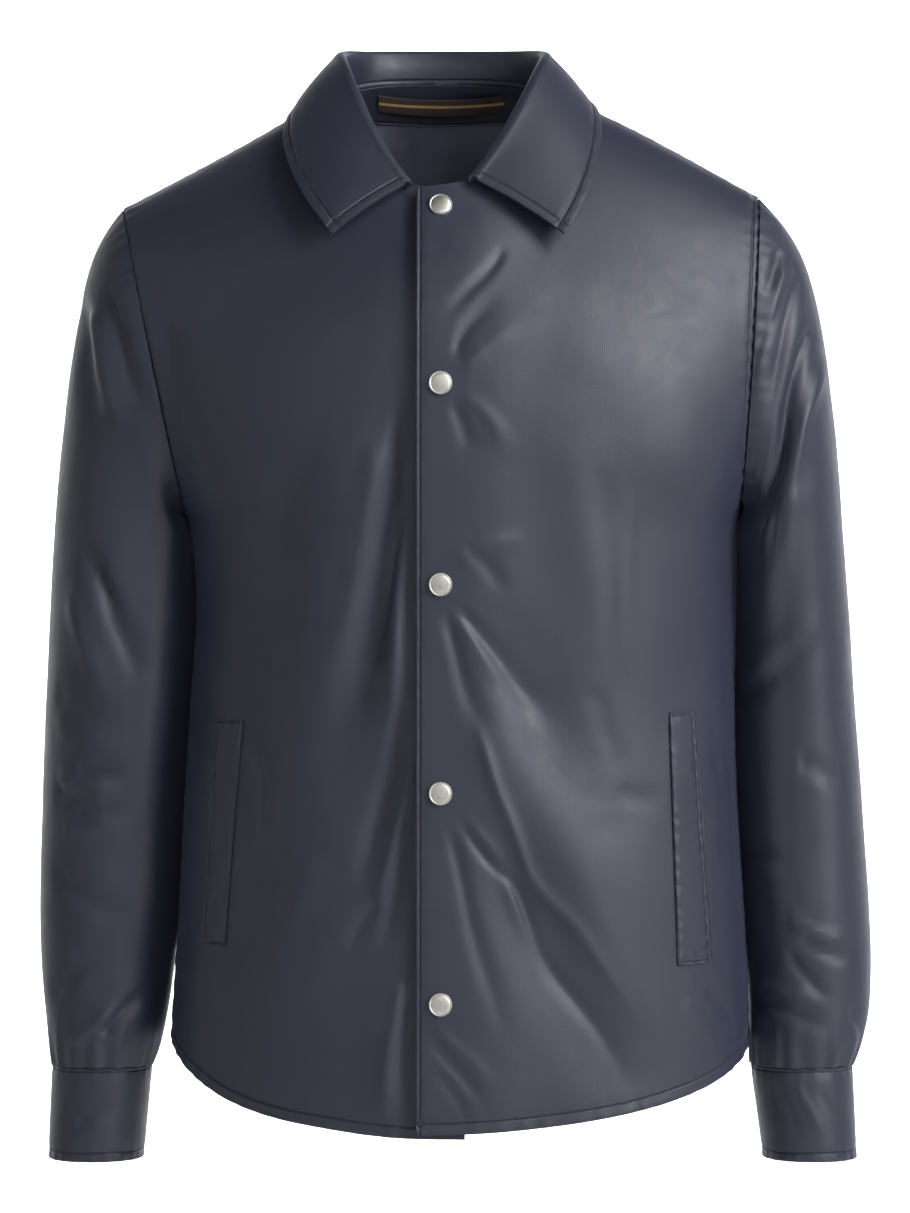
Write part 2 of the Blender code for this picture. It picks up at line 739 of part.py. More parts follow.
def facing_panel(back):
    """The band inside the back neck, laid on the back panel's inner side."""
    tree = tree_of([back])
    depth = WALL + SEAM_GAP + FACING_WALL
    points, normals = [], []
    numbers = [(-1, n) for n in reversed(neck_edge_points(back, -1, True))]
    numbers += [(1, n) for n in neck_edge_points(back, 1, True)[1:]]
    for side, n in numbers:
        edge = back.points[n]
        turn = abs(edge[0]) / NECK_HALF_WIDTH
        down = unit(np.array([side * 0.5 * turn**2, 0.45, -0.9 + 0.35 * turn**2]))
        for share in FACING_SHARES:
            place, normal = laid_on(tree, edge + down * FACING_DEPTH * share, -depth)
            points.append(place)
            normals.append(-normal)
    faces = grid_faces(len(numbers), len(FACING_SHARES))
    panel = Panel("back_neck_facing", points, faces)
    panel.fixed = dict(enumerate(normals))
    share_normals([panel])
    return panel


def tape_panel(facing_tree):
    """The hanger tape: stitched at both ends, a little off the facing between them."""
    width, height, thick = TAPE_SIZE
    back_way = Vector((0, 1, 0))
    points, normals = [], []
    for i in range(TAPE_STEPS + 1):
        share = i / TAPE_STEPS
        x = width * (share - 0.5)
        bow = TAPE_BOW * math.sin(math.pi * share)
        for j in range(2):
            z = TAPE_TOP_Z - j * height - bow
            place, normal, _, _ = facing_tree.ray_cast(Vector((x, NECK_INSIDE_Y, z)), back_way)
            points.append(np.array(place + normal * (TAPE_GAP + thick + bow)))
            normals.append(np.array(normal))
    panel = Panel("hanger_tape", points, grid_faces(TAPE_STEPS + 1, 2))
    panel.fixed = dict(enumerate(normals))
    share_normals([panel])
    return panel


def turned_piece(name, profile, place, axis, material, collection, steps=20):
    """A round piece: a profile of (radius, height) turned about an axis through place."""
    points = [Vector((r * MM, 0, h * MM)) for r, h in profile]
    mesh = bpy.data.meshes.new(name)
    shape = bmesh.new()
    verts = [shape.verts.new(p) for p in points]
    edges = [shape.edges.new(pair) for pair in zip(verts[:-1], verts[1:])]
    bmesh.ops.spin(
        shape,
        geom=verts + edges,
        cent=(0, 0, 0),
        axis=(0, 0, 1),
        dvec=(0, 0, 0),
        angle=math.tau,
        steps=steps,
    )
    bmesh.ops.remove_doubles(shape, verts=shape.verts, dist=1e-6)
    bmesh.ops.recalc_face_normals(shape, faces=shape.faces)
    shape.to_mesh(mesh)
    shape.free()
    mesh.materials.append(material)
    mesh.shade_smooth()
    mesh.set_sharp_from_angle(angle=math.radians(40))
    thing = bpy.data.objects.new(name, mesh)
    thing.rotation_mode = "QUATERNION"
    thing.rotation_quaternion = Vector(axis).to_track_quat("Z", "Y")
    thing.location = Vector(place) * MM
    collection.objects.link(thing)
    return thing


def add_snaps(over, under, material, collection):
    """Five snaps: a domed cap outside, a stud between the fronts and a post back inside."""
    over_tree, under_tree = tree_of([over]), tree_of([under])
    ahead = Vector((0, 1, 0))
    rim = CAP_HEIGHT * CAP_RIM_SHARE
    cap = [(0, 0), (CAP_RADIUS, 0), (CAP_RADIUS, rim)]
    cap += [
        (CAP_RADIUS * math.cos(a), rim + (CAP_HEIGHT - rim) * math.sin(a))
        for a in np.radians(CAP_DOME)
    ]
    cap += [(0, CAP_HEIGHT)]
    top = POST_RADIUS * POST_TOP_SHARE
    post = [(0, 0), (POST_RADIUS, 0), (top, POST_HEIGHT), (0, POST_HEIGHT)]
    stud = [(0, 0), (STUD_RADIUS, 0), (STUD_RADIUS, STUD_HEIGHT), (0, STUD_HEIGHT)]
    for number, z in enumerate(SNAP_Z, 1):
        start = Vector((0, AHEAD_Y, z))
        on_top, top_normal, _, _ = over_tree.ray_cast(start, ahead)
        below, normal, _, _ = under_tree.ray_cast(start, ahead)
        base = on_top + top_normal * SNAP_GAP
        turned_piece(f"snap_cap_{number}", cap, base, top_normal, material, collection)
        base = below + normal * STUD_GAP
        turned_piece(f"snap_stud_{number}", stud, base, normal, material, collection, STUD_STEPS)
        base = below - normal * (WALL + SNAP_GAP)
        turned_piece(f"snap_post_{number}", post, base, -normal, material, collection, STUD_STEPS)


def main():
    for thing in list(bpy.data.objects):
        bpy.data.objects.remove(thing)
    collection = bpy.data.collections.new("jacket")
    bpy.context.scene.collection.children.link(collection)
    materials = {name: make_material(name) for name in COLOURS}

    fronts = {side: front_panel(side) for side in (1, -1)}
    back = back_panel()
    sleeves, cuffs = {}, {}
    for side, word in ((1, "left"), (-1, "right")):
        sleeves[side] = tube_panel(
            f"sleeve_{word}", SLEEVES[side], side, SLEEVE_ROWS, SLEEVE_FOLDS[side]
        )
        cuffs[side] = tube_panel(f"cuff_{word}", CUFFS[side], side, CUFF_ROWS)
    shell = [*fronts.values(), back, *sleeves.values(), *cuffs.values()]
    share_normals(shell)
    body_tree = tree_of([*fronts.values(), back])
    collar = collar_panel(fronts, back, body_tree)
    share_normals(shell)
    for panel in shell:
        cloth(panel, WALL, materials["nylon"], collection)
    cloth(collar, COLLAR_WALL, materials["nylon"], collection)
    for side in (1, -1):
        welt = welt_panel(side, tree_of([fronts[side]]))
        cloth(welt, WELT_WALL, materials["nylon"], collection)
    facing = facing_panel(back)
    cloth(facing, FACING_WALL, materials["facing"], collection)
    tape = tape_panel(tree_of([facing]))
    cloth(tape, TAPE_SIZE[2], materials["tape"], collection)
    add_snaps(fronts[1], fronts[-1], materials["steel"], collection)


main()
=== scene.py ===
"""Button-front jacket in satin nylon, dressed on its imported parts.

It runs as a script in Blender 4.5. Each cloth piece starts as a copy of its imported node: the
side that shows is kept, made fine, creased and puckered by the tables below, and given its
wall again. +Z is up, the front faces -Y and the wearer's left is at +X. Lengths in the tables
are millimetres, and MM turns them into metres.
"""

import math
from collections import namedtuple

import bmesh
import bpy
import numpy as np
from mathutils import Matrix, Vector, noise
from mathutils.bvhtree import BVHTree
from mathutils.kdtree import KDTree


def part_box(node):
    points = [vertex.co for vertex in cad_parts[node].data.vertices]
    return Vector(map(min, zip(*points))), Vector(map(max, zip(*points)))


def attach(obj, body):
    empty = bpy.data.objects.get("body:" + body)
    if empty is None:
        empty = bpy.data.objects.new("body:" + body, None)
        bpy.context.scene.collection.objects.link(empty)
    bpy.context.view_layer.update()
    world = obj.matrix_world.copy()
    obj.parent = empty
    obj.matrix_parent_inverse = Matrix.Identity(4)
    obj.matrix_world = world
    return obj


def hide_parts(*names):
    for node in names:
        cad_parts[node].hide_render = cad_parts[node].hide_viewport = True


bl_info = {
    "name": "Button-front jacket",
    "version": (1, 0, 0),
    "blender": (4, 5, 0),
    "location": "3D View > Sidebar > Jacket",
    "description": "Builds a satin nylon jacket on its packed parts",
    "category": "Add Mesh",
}

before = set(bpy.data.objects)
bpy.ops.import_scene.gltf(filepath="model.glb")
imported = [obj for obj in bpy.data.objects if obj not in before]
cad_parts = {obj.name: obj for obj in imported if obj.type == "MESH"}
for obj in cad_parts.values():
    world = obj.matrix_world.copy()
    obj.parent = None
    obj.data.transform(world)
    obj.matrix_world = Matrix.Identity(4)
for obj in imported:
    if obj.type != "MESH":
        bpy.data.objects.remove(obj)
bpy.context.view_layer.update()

MM = 0.001
BODY = "root"

# The photograph: its size in pixels, the pixel of the frame's origin and the scale beside it
PHOTO_WIDTH, PHOTO_HEIGHT = 910, 1213
ORIGIN_PIXEL = (441.0, 100.0)
PHOTO_SCALE = 0.68
CAMERA_DISTANCE = 3550.0
SENSOR = 36.0

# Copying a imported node: points this near are one, and its sides part where it bends this much
MERGE = 0.02
TRIANGLE_PAIR = math.radians(60)
CLOTH_BEND = math.radians(45)
COLLAR_BEND = math.radians(58)
CORNER_BEND = math.radians(33)
EDGE_SAMPLE = 0.5
SUBDIVISIONS = 3

# Heights of the armhole's and the side seam's middles, and of the front edge's
ARMHOLE_HEIGHT = -170
SIDE_SEAM_HEIGHT = -470
FRONT_EDGE_HEIGHT = -380
# The middle of a shoulder seam, and a plane well before the jacket
SHOULDER_MIDDLE = 140
BEFORE_JACKET = -400.0

# One crease: its height at the most, below 0 for a trough, its width at its start and end, how
# sharp it is from 0 to 1, and x and z of the points it passes, as seen from the front
Crease = namedtuple("Crease", "height start_width end_width sharp points")
CREASE_STEPS = 14
CREASE_ENDS = (0.14, 0.42)
# A crease's section, in its widths: how fast soft and crisp ones fall off, the low lobes beside
# a soft one, how round a crisp one's ridge is, and how far from its line it still counts
SOFT_FALL, CRISP_FALL = 0.8, 1.5
SIDE_LOBE = 0.55
RIDGE_ROUND = 0.2
CREASE_REACH = 4
# Creases fade where the cloth turns away from the side that they belong to
FACING_GAIN, FACING_START = 1.6, 0.15
CREASE_FADE = 6.0
# Creases lit less from the side are drawn deeper, to show as much as in the photograph
LEFT_SLEEVE_DEPTH, RIGHT_SLEEVE_DEPTH, SLEEVE_BACK_DEPTH, RIGHT_FRONT_DEPTH = 1.5, 2.3, 1.5, 1.45

# A sleeve rests on the body below the armpit: how far it swells, and from which heights
SLEEVE_LEAN = 3.5
SLEEVE_LEAN_HEIGHTS = (-600, -520, -296, -276)
SLEEVE_LEAN_TURN = (0.2, 0.8)

LEFT_FRONT_CREASES = [
    Crease(-2.0, 4, 7, 0.3, [(42, -108), (20, -135), (1, -163)]),
    Crease(-2.2, 3, 10, 0.4, [(8, -182), (22, -160), (42, -142)]),
    Crease(1.6, 4, 9, 0.3, [(12, -190), (34, -174), (58, -160)]),
    Crease(-2.0, 3, 8, 0.4, [(5, -210), (13, -225), (22, -246)]),
    Crease(1.4, 4, 8, 0.2, [(12, -205), (32, -222), (48, -246)]),
    Crease(-3.2, 3, 14, 0.5, [(9, -342), (39, -380), (78, -430)]),
    Crease(-2.8, 3, 9, 0.5, [(4, -346), (18, -396), (32, -436)]),
    Crease(2.4, 3, 9, 0.6, [(11, -348), (30, -378), (50, -402)]),
    Crease(-1.8, 5, 8, 0.3, [(14, -306), (30, -318), (41, -343)]),
    Crease(1.6, 4, 8, 0.3, [(10, -318), (34, -304), (60, -300)]),
    Crease(
        3.4, 4, 7, 0.8, [(22, -414), (39, -472), (58, -518), (88, -557), (121, -603), (140, -632)]
    ),
    Crease(
        -3.6, 3, 8, 0.6, [(7, -476), (26, -505), (52, -531), (68, -577), (98, -616), (134, -672)]
    ),
    Crease(1.8, 4, 7, 0.5, [(12, -482), (40, -518), (60, -560), (84, -606)]),
    Crease(-2.2, 4, 8, 0.4, [(4, -482), (14, -530), (30, -580), (46, -640)]),
    Crease(-2.0, 3, 5, 0.5, [(-8, -628), (10, -650), (32, -676)]),
    Crease(-1.6, 3, 5, 0.5, [(-6, -648), (6, -664), (18, -684)]),
    Crease(1.5, 3, 5, 0.5, [(-6, -618), (16, -640), (40, -662)]),
    Crease(-0.9, 7, 10, 0.2, [(98, -396), (106, -416), (112, -438)]),
    Crease(-0.9, 6, 10, 0.2, [(106, -424), (114, -438), (124, -456)]),
    Crease(-0.8, 6, 9, 0.2, [(118, -466), (134, -471), (150, -472)]),
    Crease(-0.9, 7, 9, 0.0, [(106, -250), (110, -340), (112, -400)]),
    Crease(0.9, 7, 9, 0.0, [(124, -262), (121, -330), (118, -396)]),
    Crease(-1.6, 5, 7, 0.4, [(176, -600), (188, -612), (199, -624)]),
    Crease(1.4, 5, 8, 0.4, [(160, -606), (176, -628), (188, -646)]),
    Crease(-1.5, 5, 7, 0.3, [(182, -430), (192, -480), (188, -540)]),
]
RIGHT_FRONT_CREASES = [
    Crease(-3.2, 4, 14, 0.4, [(-24, -206), (-36, -290), (-48, -370), (-68, -450)]),
    Crease(-2.6, 3, 10, 0.5, [(-21, -262), (-34, -340), (-60, -436)]),
    Crease(2.8, 4, 6, 0.6, [(-22, -250), (-27, -340), (-34, -450)]),
    Crease(2.0, 8, 12, 0.2, [(-40, -230), (-58, -330), (-86, -430)]),
    Crease(-2.6, 5, 9, 0.4, [(-26, -406), (-38, -470), (-54, -540)]),
    Crease(2.0, 4, 7, 0.5, [(-20, -440), (-30, -500), (-46, -560)]),
    Crease(-2.2, 3, 8, 0.5, [(-19, -470), (-27, -524), (-38, -580)]),
    Crease(-1.9, 4, 7, 0.4, [(-38, -536), (-50, -552), (-66, -572)]),
    Crease(1.9, 5, 6, 0.5, [(-28, -590), (-34, -640), (-38, -688)]),
    Crease(-1.6, 5, 6, 0.4, [(-20, -600), (-24, -640), (-26, -684)]),
    Crease(-1.5, 14, 18, 0.0, [(-100, -240), (-112, -330), (-104, -420)]),
    Crease(1.6, 12, 18, 0.0, [(-80, -500), (-110, -580), (-120, -650)]),
    Crease(-1.4, 4, 6, 0.4, [(-126, -440), (-118, -470), (-122, -500)]),
    Crease(-1.4, 4, 6, 0.4, [(-124, -520), (-112, -536), (-104, -560)]),
    Crease(-1.8, 6, 10, 0.3, [(-186, -150), (-176, -220), (-166, -280)]),
]
BACK_CREASES = [
    Crease(-2.6, 8, 12, 0.3, [(60, -70), (100, -170), (150, -270)]),
    Crease(-2.6, 8, 12, 0.3, [(-64, -74), (-104, -160), (-150, -262)]),
    Crease(2.2, 8, 12, 0.3, [(30, -120), (70, -220), (120, -320)]),
    Crease(2.0, 8, 12, 0.3, [(-34, -130), (-76, -230), (-116, -330)]),
    Crease(-3.0, 6, 12, 0.4, [(-130, -330), (-80, -420), (-40, -500)]),
    Crease(2.6, 5, 10, 0.5, [(-120, -360), (-70, -450), (-30, -520)]),
    Crease(-2.8, 6, 12, 0.4, [(140, -340), (96, -430), (52, -520)]),
    Crease(2.2, 5, 9, 0.5, [(120, -380), (84, -460), (40, -560)]),
    Crease(-2.2, 5, 8, 0.4, [(20, -300), (10, -400), (26, -480)]),
    Crease(-2.0, 5, 9, 0.4, [(-10, -560), (4, -620), (-4, -680)]),
    Crease(2.0, 5, 8, 0.4, [(60, -590), (50, -640), (56, -684)]),
    Crease(-1.8, 5, 8, 0.4, [(-90, -560), (-80, -620), (-92, -676)]),
    Crease(-1.8, 5, 8, 0.4, [(120, -580), (112, -630), (122, -672)]),
    Crease(-1.6, 4, 6, 0.5, [(166, -420), (184, -450), (176, -490)]),
    Crease(-1.6, 4, 6, 0.5, [(-140, -440), (-156, -470), (-148, -520)]),
]
LEFT_SLEEVE_CREASES = [
    Crease(-1.8, 4, 7, 0.4, [(226, -104), (222, -122), (218, -140)]),
    Crease(-2.8, 4, 9, 0.5, [(237, -112), (226, -150), (207, -190)]),
    Crease(-2.6, 4, 8, 0.5, [(243, -118), (230, -170), (221, -222)]),
    Crease(2.2, 4, 8, 0.5, [(232, -112), (222, -158), (206, -204)]),
    Crease(-4.2, 3, 8, 0.8, [(258, -152), (242, -176), (229, -233), (204, -296)]),
    Crease(3.0, 4, 9, 0.6, [(262, -172), (248, -210), (232, -262), (214, -310)]),
    Crease(2.4, 8, 12, 0.3, [(236, -260), (226, -320), (216, -370)]),
    Crease(-3.2, 4, 7, 0.6, [(202, -414), (234, -384), (264, -374)]),
    Crease(2.6, 4, 7, 0.5, [(206, -396), (238, -366), (266, -356)]),
    Crease(-2.6, 4, 6, 0.5, [(240, -448), (258, -456), (278, -470)]),
    Crease(-2.2, 4, 6, 0.5, [(204, -508), (220, -514), (238, -521)]),
    Crease(-2.2, 4, 6, 0.5, [(242, -566), (262, -576), (284, -584)]),
    Crease(2.0, 4, 6, 0.5, [(234, -552), (256, -566), (280, -570)]),
    Crease(-2.2, 4, 6, 0.5, [(235, -576), (248, -592), (264, -612)]),
    Crease(-2.4, 4, 6, 0.5, [(208, -611), (236, -618), (264, -632)]),
    Crease(1.8, 4, 6, 0.5, [(212, -600), (238, -606), (268, -616)]),
    Crease(-1.8, 3, 5, 0.5, [(276, -616), (281, -626), (287, -640)]),
]
RIGHT_SLEEVE_CREASES = [
    Crease(-2.8, 6, 10, 0.4, [(-244, -132), (-240, -180), (-228, -240)]),
    Crease(-2.6, 5, 10, 0.4, [(-226, -128), (-214, -170), (-196, -224)]),
    Crease(2.2, 6, 10, 0.3, [(-236, -140), (-226, -190), (-210, -240)]),
    Crease(-2.6, 7, 10, 0.3, [(-240, -300), (-222, -350), (-196, -402)]),
    Crease(-1.8, 4, 6, 0.4, [(-232, -314), (-224, -336), (-216, -356)]),
    Crease(2.0, 6, 8, 0.4, [(-250, -330), (-236, -380), (-214, -420)]),
    Crease(-2.4, 4, 6, 0.6, [(-246, -450), (-230, -455), (-212, -460)]),
    Crease(-2.8, 4, 6, 0.6, [(-265, -468), (-248, -474), (-228, -480)]),
    Crease(-2.4, 3, 5, 0.6, [(-248, -480), (-228, -484), (-208, -481)]),
    Crease(2.2, 4, 6, 0.5, [(-262, -458), (-240, -464), (-214, -470)]),
    Crease(1.8, 4, 6, 0.5, [(-258, -490), (-236, -492), (-206, -488)]),
    Crease(-1.8, 5, 8, 0.4, [(-262, -520), (-240, -540), (-206, -552)]),
    Crease(-1.6, 4, 6, 0.5, [(-230, -634), (-212, -616), (-194, -602)]),
    Crease(-1.3, 5, 7, 0.4, [(-266, -610), (-250, -592), (-228, -580)]),
    Crease(-1.4, 5, 7, 0.4, [(-262, -400), (-246, -412), (-222, -418)]),
    Crease(1.2, 5, 8, 0.4, [(-260, -420), (-244, -432), (-216, -436)]),
    Crease(1.6, 4, 6, 0.5, [(-250, -640), (-236, -628), (-214, -616)]),
]
SLEEVE_BACK_CREASES = [
    Crease(-3.0, 5, 8, 0.5, [(214, -360), (244, -372), (280, -362)]),
    Crease(2.4, 5, 7, 0.5, [(212, -392), (244, -396), (282, -388)]),
    Crease(-2.6, 5, 8, 0.5, [(210, -420), (240, -412), (284, -424)]),
    Crease(-2.2, 6, 10, 0.3, [(258, -140), (240, -220), (222, -300)]),
    Crease(2.0, 6, 10, 0.3, [(246, -180), (232, -260), (214, -330)]),
    Crease(-2.0, 5, 8, 0.4, [(214, -500), (246, -520), (282, -512)]),
    Crease(-2.2, 4, 7, 0.5, [(212, -600), (240, -608), (280, -600)]),
]
CUFF_CREASES = {
    1: [
        Crease(-1.2, 3, 5, 0.5, [(224, -668), (236, -688), (244, -706)]),
        Crease(1.2, 3, 5, 0.5, [(236, -666), (250, -686), (262, -704)]),
        Crease(-1.3, 3, 5, 0.5, [(252, -668), (264, -684), (278, -696)]),
    ],
    -1: [
        Crease(-1.3, 3, 5, 0.5, [(-246, -694), (-234, -684), (-218, -676)]),
        Crease(1.1, 3, 5, 0.5, [(-250, -706), (-236, -696), (-222, -688)]),
        Crease(-1.2, 3, 5, 0.5, [(-256, -676), (-246, -684), (-238, -704)]),
    ],
}

# The padding's swell: height and length of its soft waves, and how far creases wander
SWELLS = ((0.8, 80.0), (0.2, 30.0))
SWELL_FADE = 12
WANDER = (4.0, 55.0)
# Each seed looks at the noise from this much further on
NOISE_STEP = (7.3, 3.1, 5.7)

# Seams pucker the cloth beside them: height, reach and spacing of the ripples
Pucker = namedtuple("Pucker", "height reach pitch")
HEM_PUCKER = Pucker(0.45, 8, 17)
EDGE_PUCKER = Pucker(0.3, 7, 15)
ARMHOLE_PUCKER = Pucker(0.55, 11, 12)
SIDE_PUCKER = Pucker(0.35, 8, 16)
SHOULDER_PUCKER = Pucker(0.3, 7, 14)
CUFF_GATHER = Pucker(1.3, 20, 15)
CUFF_PUCKER = Pucker(0.4, 7, 11)
COLLAR_PUCKER = Pucker(0.3, 7, 16)
WELT_PUCKER = Pucker(0.5, 6, 11)
# Ripples are uneven: how far their spacing and their strength wander, and over which length
SPACING_WANDER, SPACING_LENGTH = 5.0, 26
STRENGTH_MEAN, STRENGTH_WANDER, STRENGTH_LENGTH = 0.75, 0.6, 34

# Stitching: how far each row lies in from the edge it follows, and the groove it pulls
ARMHOLE_ROW = 5.4
CUFF_TOP_ROW, CUFF_HEM_ROW = 2.0, 6.0
WELT_ROW = 1.8
FACING_ROW = 1.6
TAPE_ROW = 8.5
GROOVE = 0.45
GROOVE_WIDTH = 2.4
NO_STITCH = 99.0
# A row stops short of its run's ends, is drawn through points this far apart, lies this high
ROW_END = 3.0
ROW_STEP = 2.0
THREAD_LIFT = 0.08
COLLAR_ROLL = 20

# Walls: the tape's thickness, the gap below a welt, the share of a wall beyond which a point is
# on its hidden side, and the rounding of the edges
TAPE_WALL = 0.8
WELT_GAP = 0.25
HIDDEN_SHARE = 0.75
ROUND_EDGE = 0.7
ROUND_ANGLE = math.radians(55)
# The relief is flat under a snap and whole again from here on
SNAP_FLAT, SNAP_CLEAR = 8, 17

# Upright ripples of the lining below the neck facing: spacing, height, how their line wanders
# and spreads, how uneven they are, and where they fade in height, to the sides and at the facing
GATHER_PITCH = 17.0
GATHER_HEIGHT = 1.5
GATHER_WANDER, GATHER_WANDER_LENGTH = 9, 60.0
GATHER_SPREAD, GATHER_TOP = 0.02, 60
GATHER_MEAN, GATHER_UNEVEN, GATHER_UNEVEN_LENGTH = 0.65, 0.5, 35.0
GATHER_HEIGHTS = (-190, -60)
GATHER_SIDES = (70, 120)
GATHER_CLEAR = (2, 8)
# Along the neck seam the lining stops short, and the shell's cloth shows
NECK_SEAM = 9.0

# Flat cut of each piece: width and length as estimated from its box and edges, and the area
# of its shown side in square metres
Cut = namedtuple("Cut", "width length area")

# The snap cap, from its middle out: a dome, a groove and a rolled rim
SNAPS = range(1, 6)
CAP_SEGMENTS = 64
CAP_HEIGHT = 2.3
CAP_DOME_SHARE = 0.8
CAP_RIM_SHARE = 0.9
CAP_DOME_RISE = 0.6
CAP_DOME_RINGS = 6
CAP_DOME_CLOSED = 0.97
CAP_GROOVE = 0.35
CAP_GROOVE_SLOPE = 0.03
CAP_GROOVE_RETURN = 0.9
CAP_ROUND = 0.35

# The hanger tape: half its stripe's width, how the stripe sags with the tape, per metre, and
# how far it lies above the tape's middle
STRIPE_HALF = 0.8
STRIPE_SAG = -1.15
STRIPE_RISE = 0.8

FLOOR_Z = -1020.0
STUDIO_RADIUS = 7000.0
STUDIO_HEIGHT = 6500.0
SWEEP_RADIUS = 1100.0

# Lights: place, what it looks at, size, power in watts and colour
Light = namedtuple("Light", "name place target size power colour")
JACKET_MIDDLE = (10, 0, -350)
BACKDROP_MIDDLE = (0, 6300, -800)
LIGHTS = [
    Light("key", (2300, -1900, 700), JACKET_MIDDLE, 1100, 66, "FBFCFF"),
    Light("front", (500, -3300, 900), JACKET_MIDDLE, 1500, 9, "FFFFFF"),
    Light("fill", (-1900, -2400, 100), JACKET_MIDDLE, 1600, 2, "F4F7FF"),
    Light("top", (1300, -900, 1200), JACKET_MIDDLE, 900, 20, "FFFFFF"),
    Light("backdrop", (0, 4300, 1600), BACKDROP_MIDDLE, 2600, 360, "FFFFFF"),
]
WORLD_COLOUR = "FFFFFF"
WORLD_STRENGTH = 0.03


def linear(code):
    """An sRGB hex colour as linear red, green and blue."""
    shares = [int(code[i : i + 2], 16) / 255 for i in (0, 2, 4)]
    return tuple(s / 12.92 if s <= 0.04045 else ((s + 0.055) / 1.055) ** 2.4 for s in shares)


def smooth_step(x, start, end):
    """0 before start, 1 after end, and smooth between."""
    t = np.clip((x - start) / (end - start), 0, 1)
    return t * t * (3 - 2 * t)


def length_property(name, description, default, **more):
    """A size that a user may change, kept in metres."""
    return bpy.props.FloatProperty(
        name=name, description=description, default=default * MM, unit="LENGTH", precision=4, **more
    )


def colour_property(name, description, code):
    """A colour that a user may change, given as sRGB hex."""
    return bpy.props.FloatVectorProperty(
        name=name,
        description=description,
        subtype="COLOR",
        size=3,
        min=0,
        max=1,
        default=linear(code),
    )


class JacketSizes(bpy.types.PropertyGroup):
    """Sizes of the cloth, its stitching and its snaps."""

    wall: length_property("Cloth", "Thickness of shell, padding and lining together", 3.0)
    collar_wall: length_property("Collar", "Thickness of the collar", 2.0)
    welt_wall: length_property("Welt", "Thickness of a pocket welt", 1.5)
    facing_wall: length_property("Facing", "Thickness of the neck facing", 1.0)
    hem_row: length_property("Hem row", "From the hem's edge to its stitching", 7.5)
    edge_row: length_property("Front edge row", "From the front edge to its stitching", 2.2)
    collar_row: length_property("Collar row", "From the collar's edge to its stitching", 6.2)
    stitch: length_property("Stitch", "Length of one stitch", 2.5)
    stitch_gap: length_property("Gap", "From one stitch to the next", 0.9)
    thread: length_property("Thread", "Thickness of the thread", 0.42)
    cap_radius: length_property("Snap cap", "Radius of a snap cap", 7.6)
    crease: bpy.props.FloatProperty(
        name="Creases", description="How deep the creases are", default=0.8, min=0, max=2
    )


class JacketColours(bpy.types.PropertyGroup):
    """Colours of the cloth, the tape and the snaps."""

    shell: colour_property("Shell", "Satin nylon of the shell", "282B3C")
    shell_deep: colour_property("Shell, deep", "Darker tone of the shell", "222534")
    # The lining's pale colour is painted light: the same navy cloth drawn lighter, as if lit inside the
    # jacket.
    lining: colour_property("Lining", "Satin nylon of the lining", "8A8DA4")
    thread: colour_property("Thread", "Stitching", "20222D")
    tape: colour_property("Tape", "Ground of the hanger tape", "3C3029")
    stripe: colour_property("Stripe", "Middle stripe of the hanger tape", "B98F5C")
    snap: colour_property("Snap", "Brushed nickel of the snaps", "DDDAD3")
    floor: colour_property("Floor", "Floor and backdrop", "F7F7F6")


def sizes():
    return bpy.context.scene.jacket_sizes


def colours():
    return bpy.context.scene.jacket_colours


def only(thing):
    """Makes thing the one selected and active object."""
    bpy.ops.object.select_all(action="DESELECT")
    thing.hide_set(False)
    thing.select_set(True)
    bpy.context.view_layer.objects.active = thing


def apply_modifier(thing, kind, **settings):
    """Adds a modifier with its settings and applies it."""
    only(thing)
    modifier = thing.modifiers.new(kind.title(), kind)
    for name, value in settings.items():
        setattr(modifier, name, value)
    bpy.ops.object.modifier_apply(modifier=modifier.name)


def mesh_points(mesh):
    """Every vertex in millimetres."""
    flat = np.empty(len(mesh.vertices) * 3)
    mesh.vertices.foreach_get("co", flat)
    return flat.reshape(-1, 3) / MM


def mesh_normals(mesh):
    flat = np.empty(len(mesh.vertices) * 3, np.float32)
    mesh.vertex_normals.foreach_get("vector", flat)
    return flat.reshape(-1, 3).astype(float)


def set_points(mesh, points):
    mesh.vertices.foreach_set("co", (points * MM).ravel())
    mesh.update()


def soft_noise(points, wave, seed):
    """Smooth noise from -1 to 1 at each point, with waves of that length in millimetres."""
    shift = Vector([seed * step for step in NOISE_STEP])
    return np.array([noise.noise(Vector(p) / wave + shift) for p in points])


def smooth_line(points, steps=CREASE_STEPS):
    """A Catmull-Rom curve through a few points."""
    p = np.array([points[0], *points, points[-1]], float)
    line = []
    for i in range(1, len(p) - 2):
        for t in np.arange(steps) / steps:
            line.append(
                0.5
                * (
                    2 * p[i]
                    + (p[i + 1] - p[i - 1]) * t
                    + (2 * p[i - 1] - 5 * p[i] + 4 * p[i + 1] - p[i + 2]) * t**2
                    + (3 * p[i] - p[i - 1] - 3 * p[i + 1] + p[i + 2]) * t**3
                )
            )
    return np.array([*line, p[-2]])


def crease_profile(across, sharp):
    """Height over a crease: 1 on its line, low lobes beside it, then 0; across is in widths."""
    soft = (1 - SIDE_LOBE * across**2) * np.exp(-SOFT_FALL * across**2)
    crisp = np.exp(-CRISP_FALL * (np.sqrt(across**2 + RIDGE_ROUND**2) - RIDGE_ROUND))
    return soft * (1 - sharp) + crisp * sharp


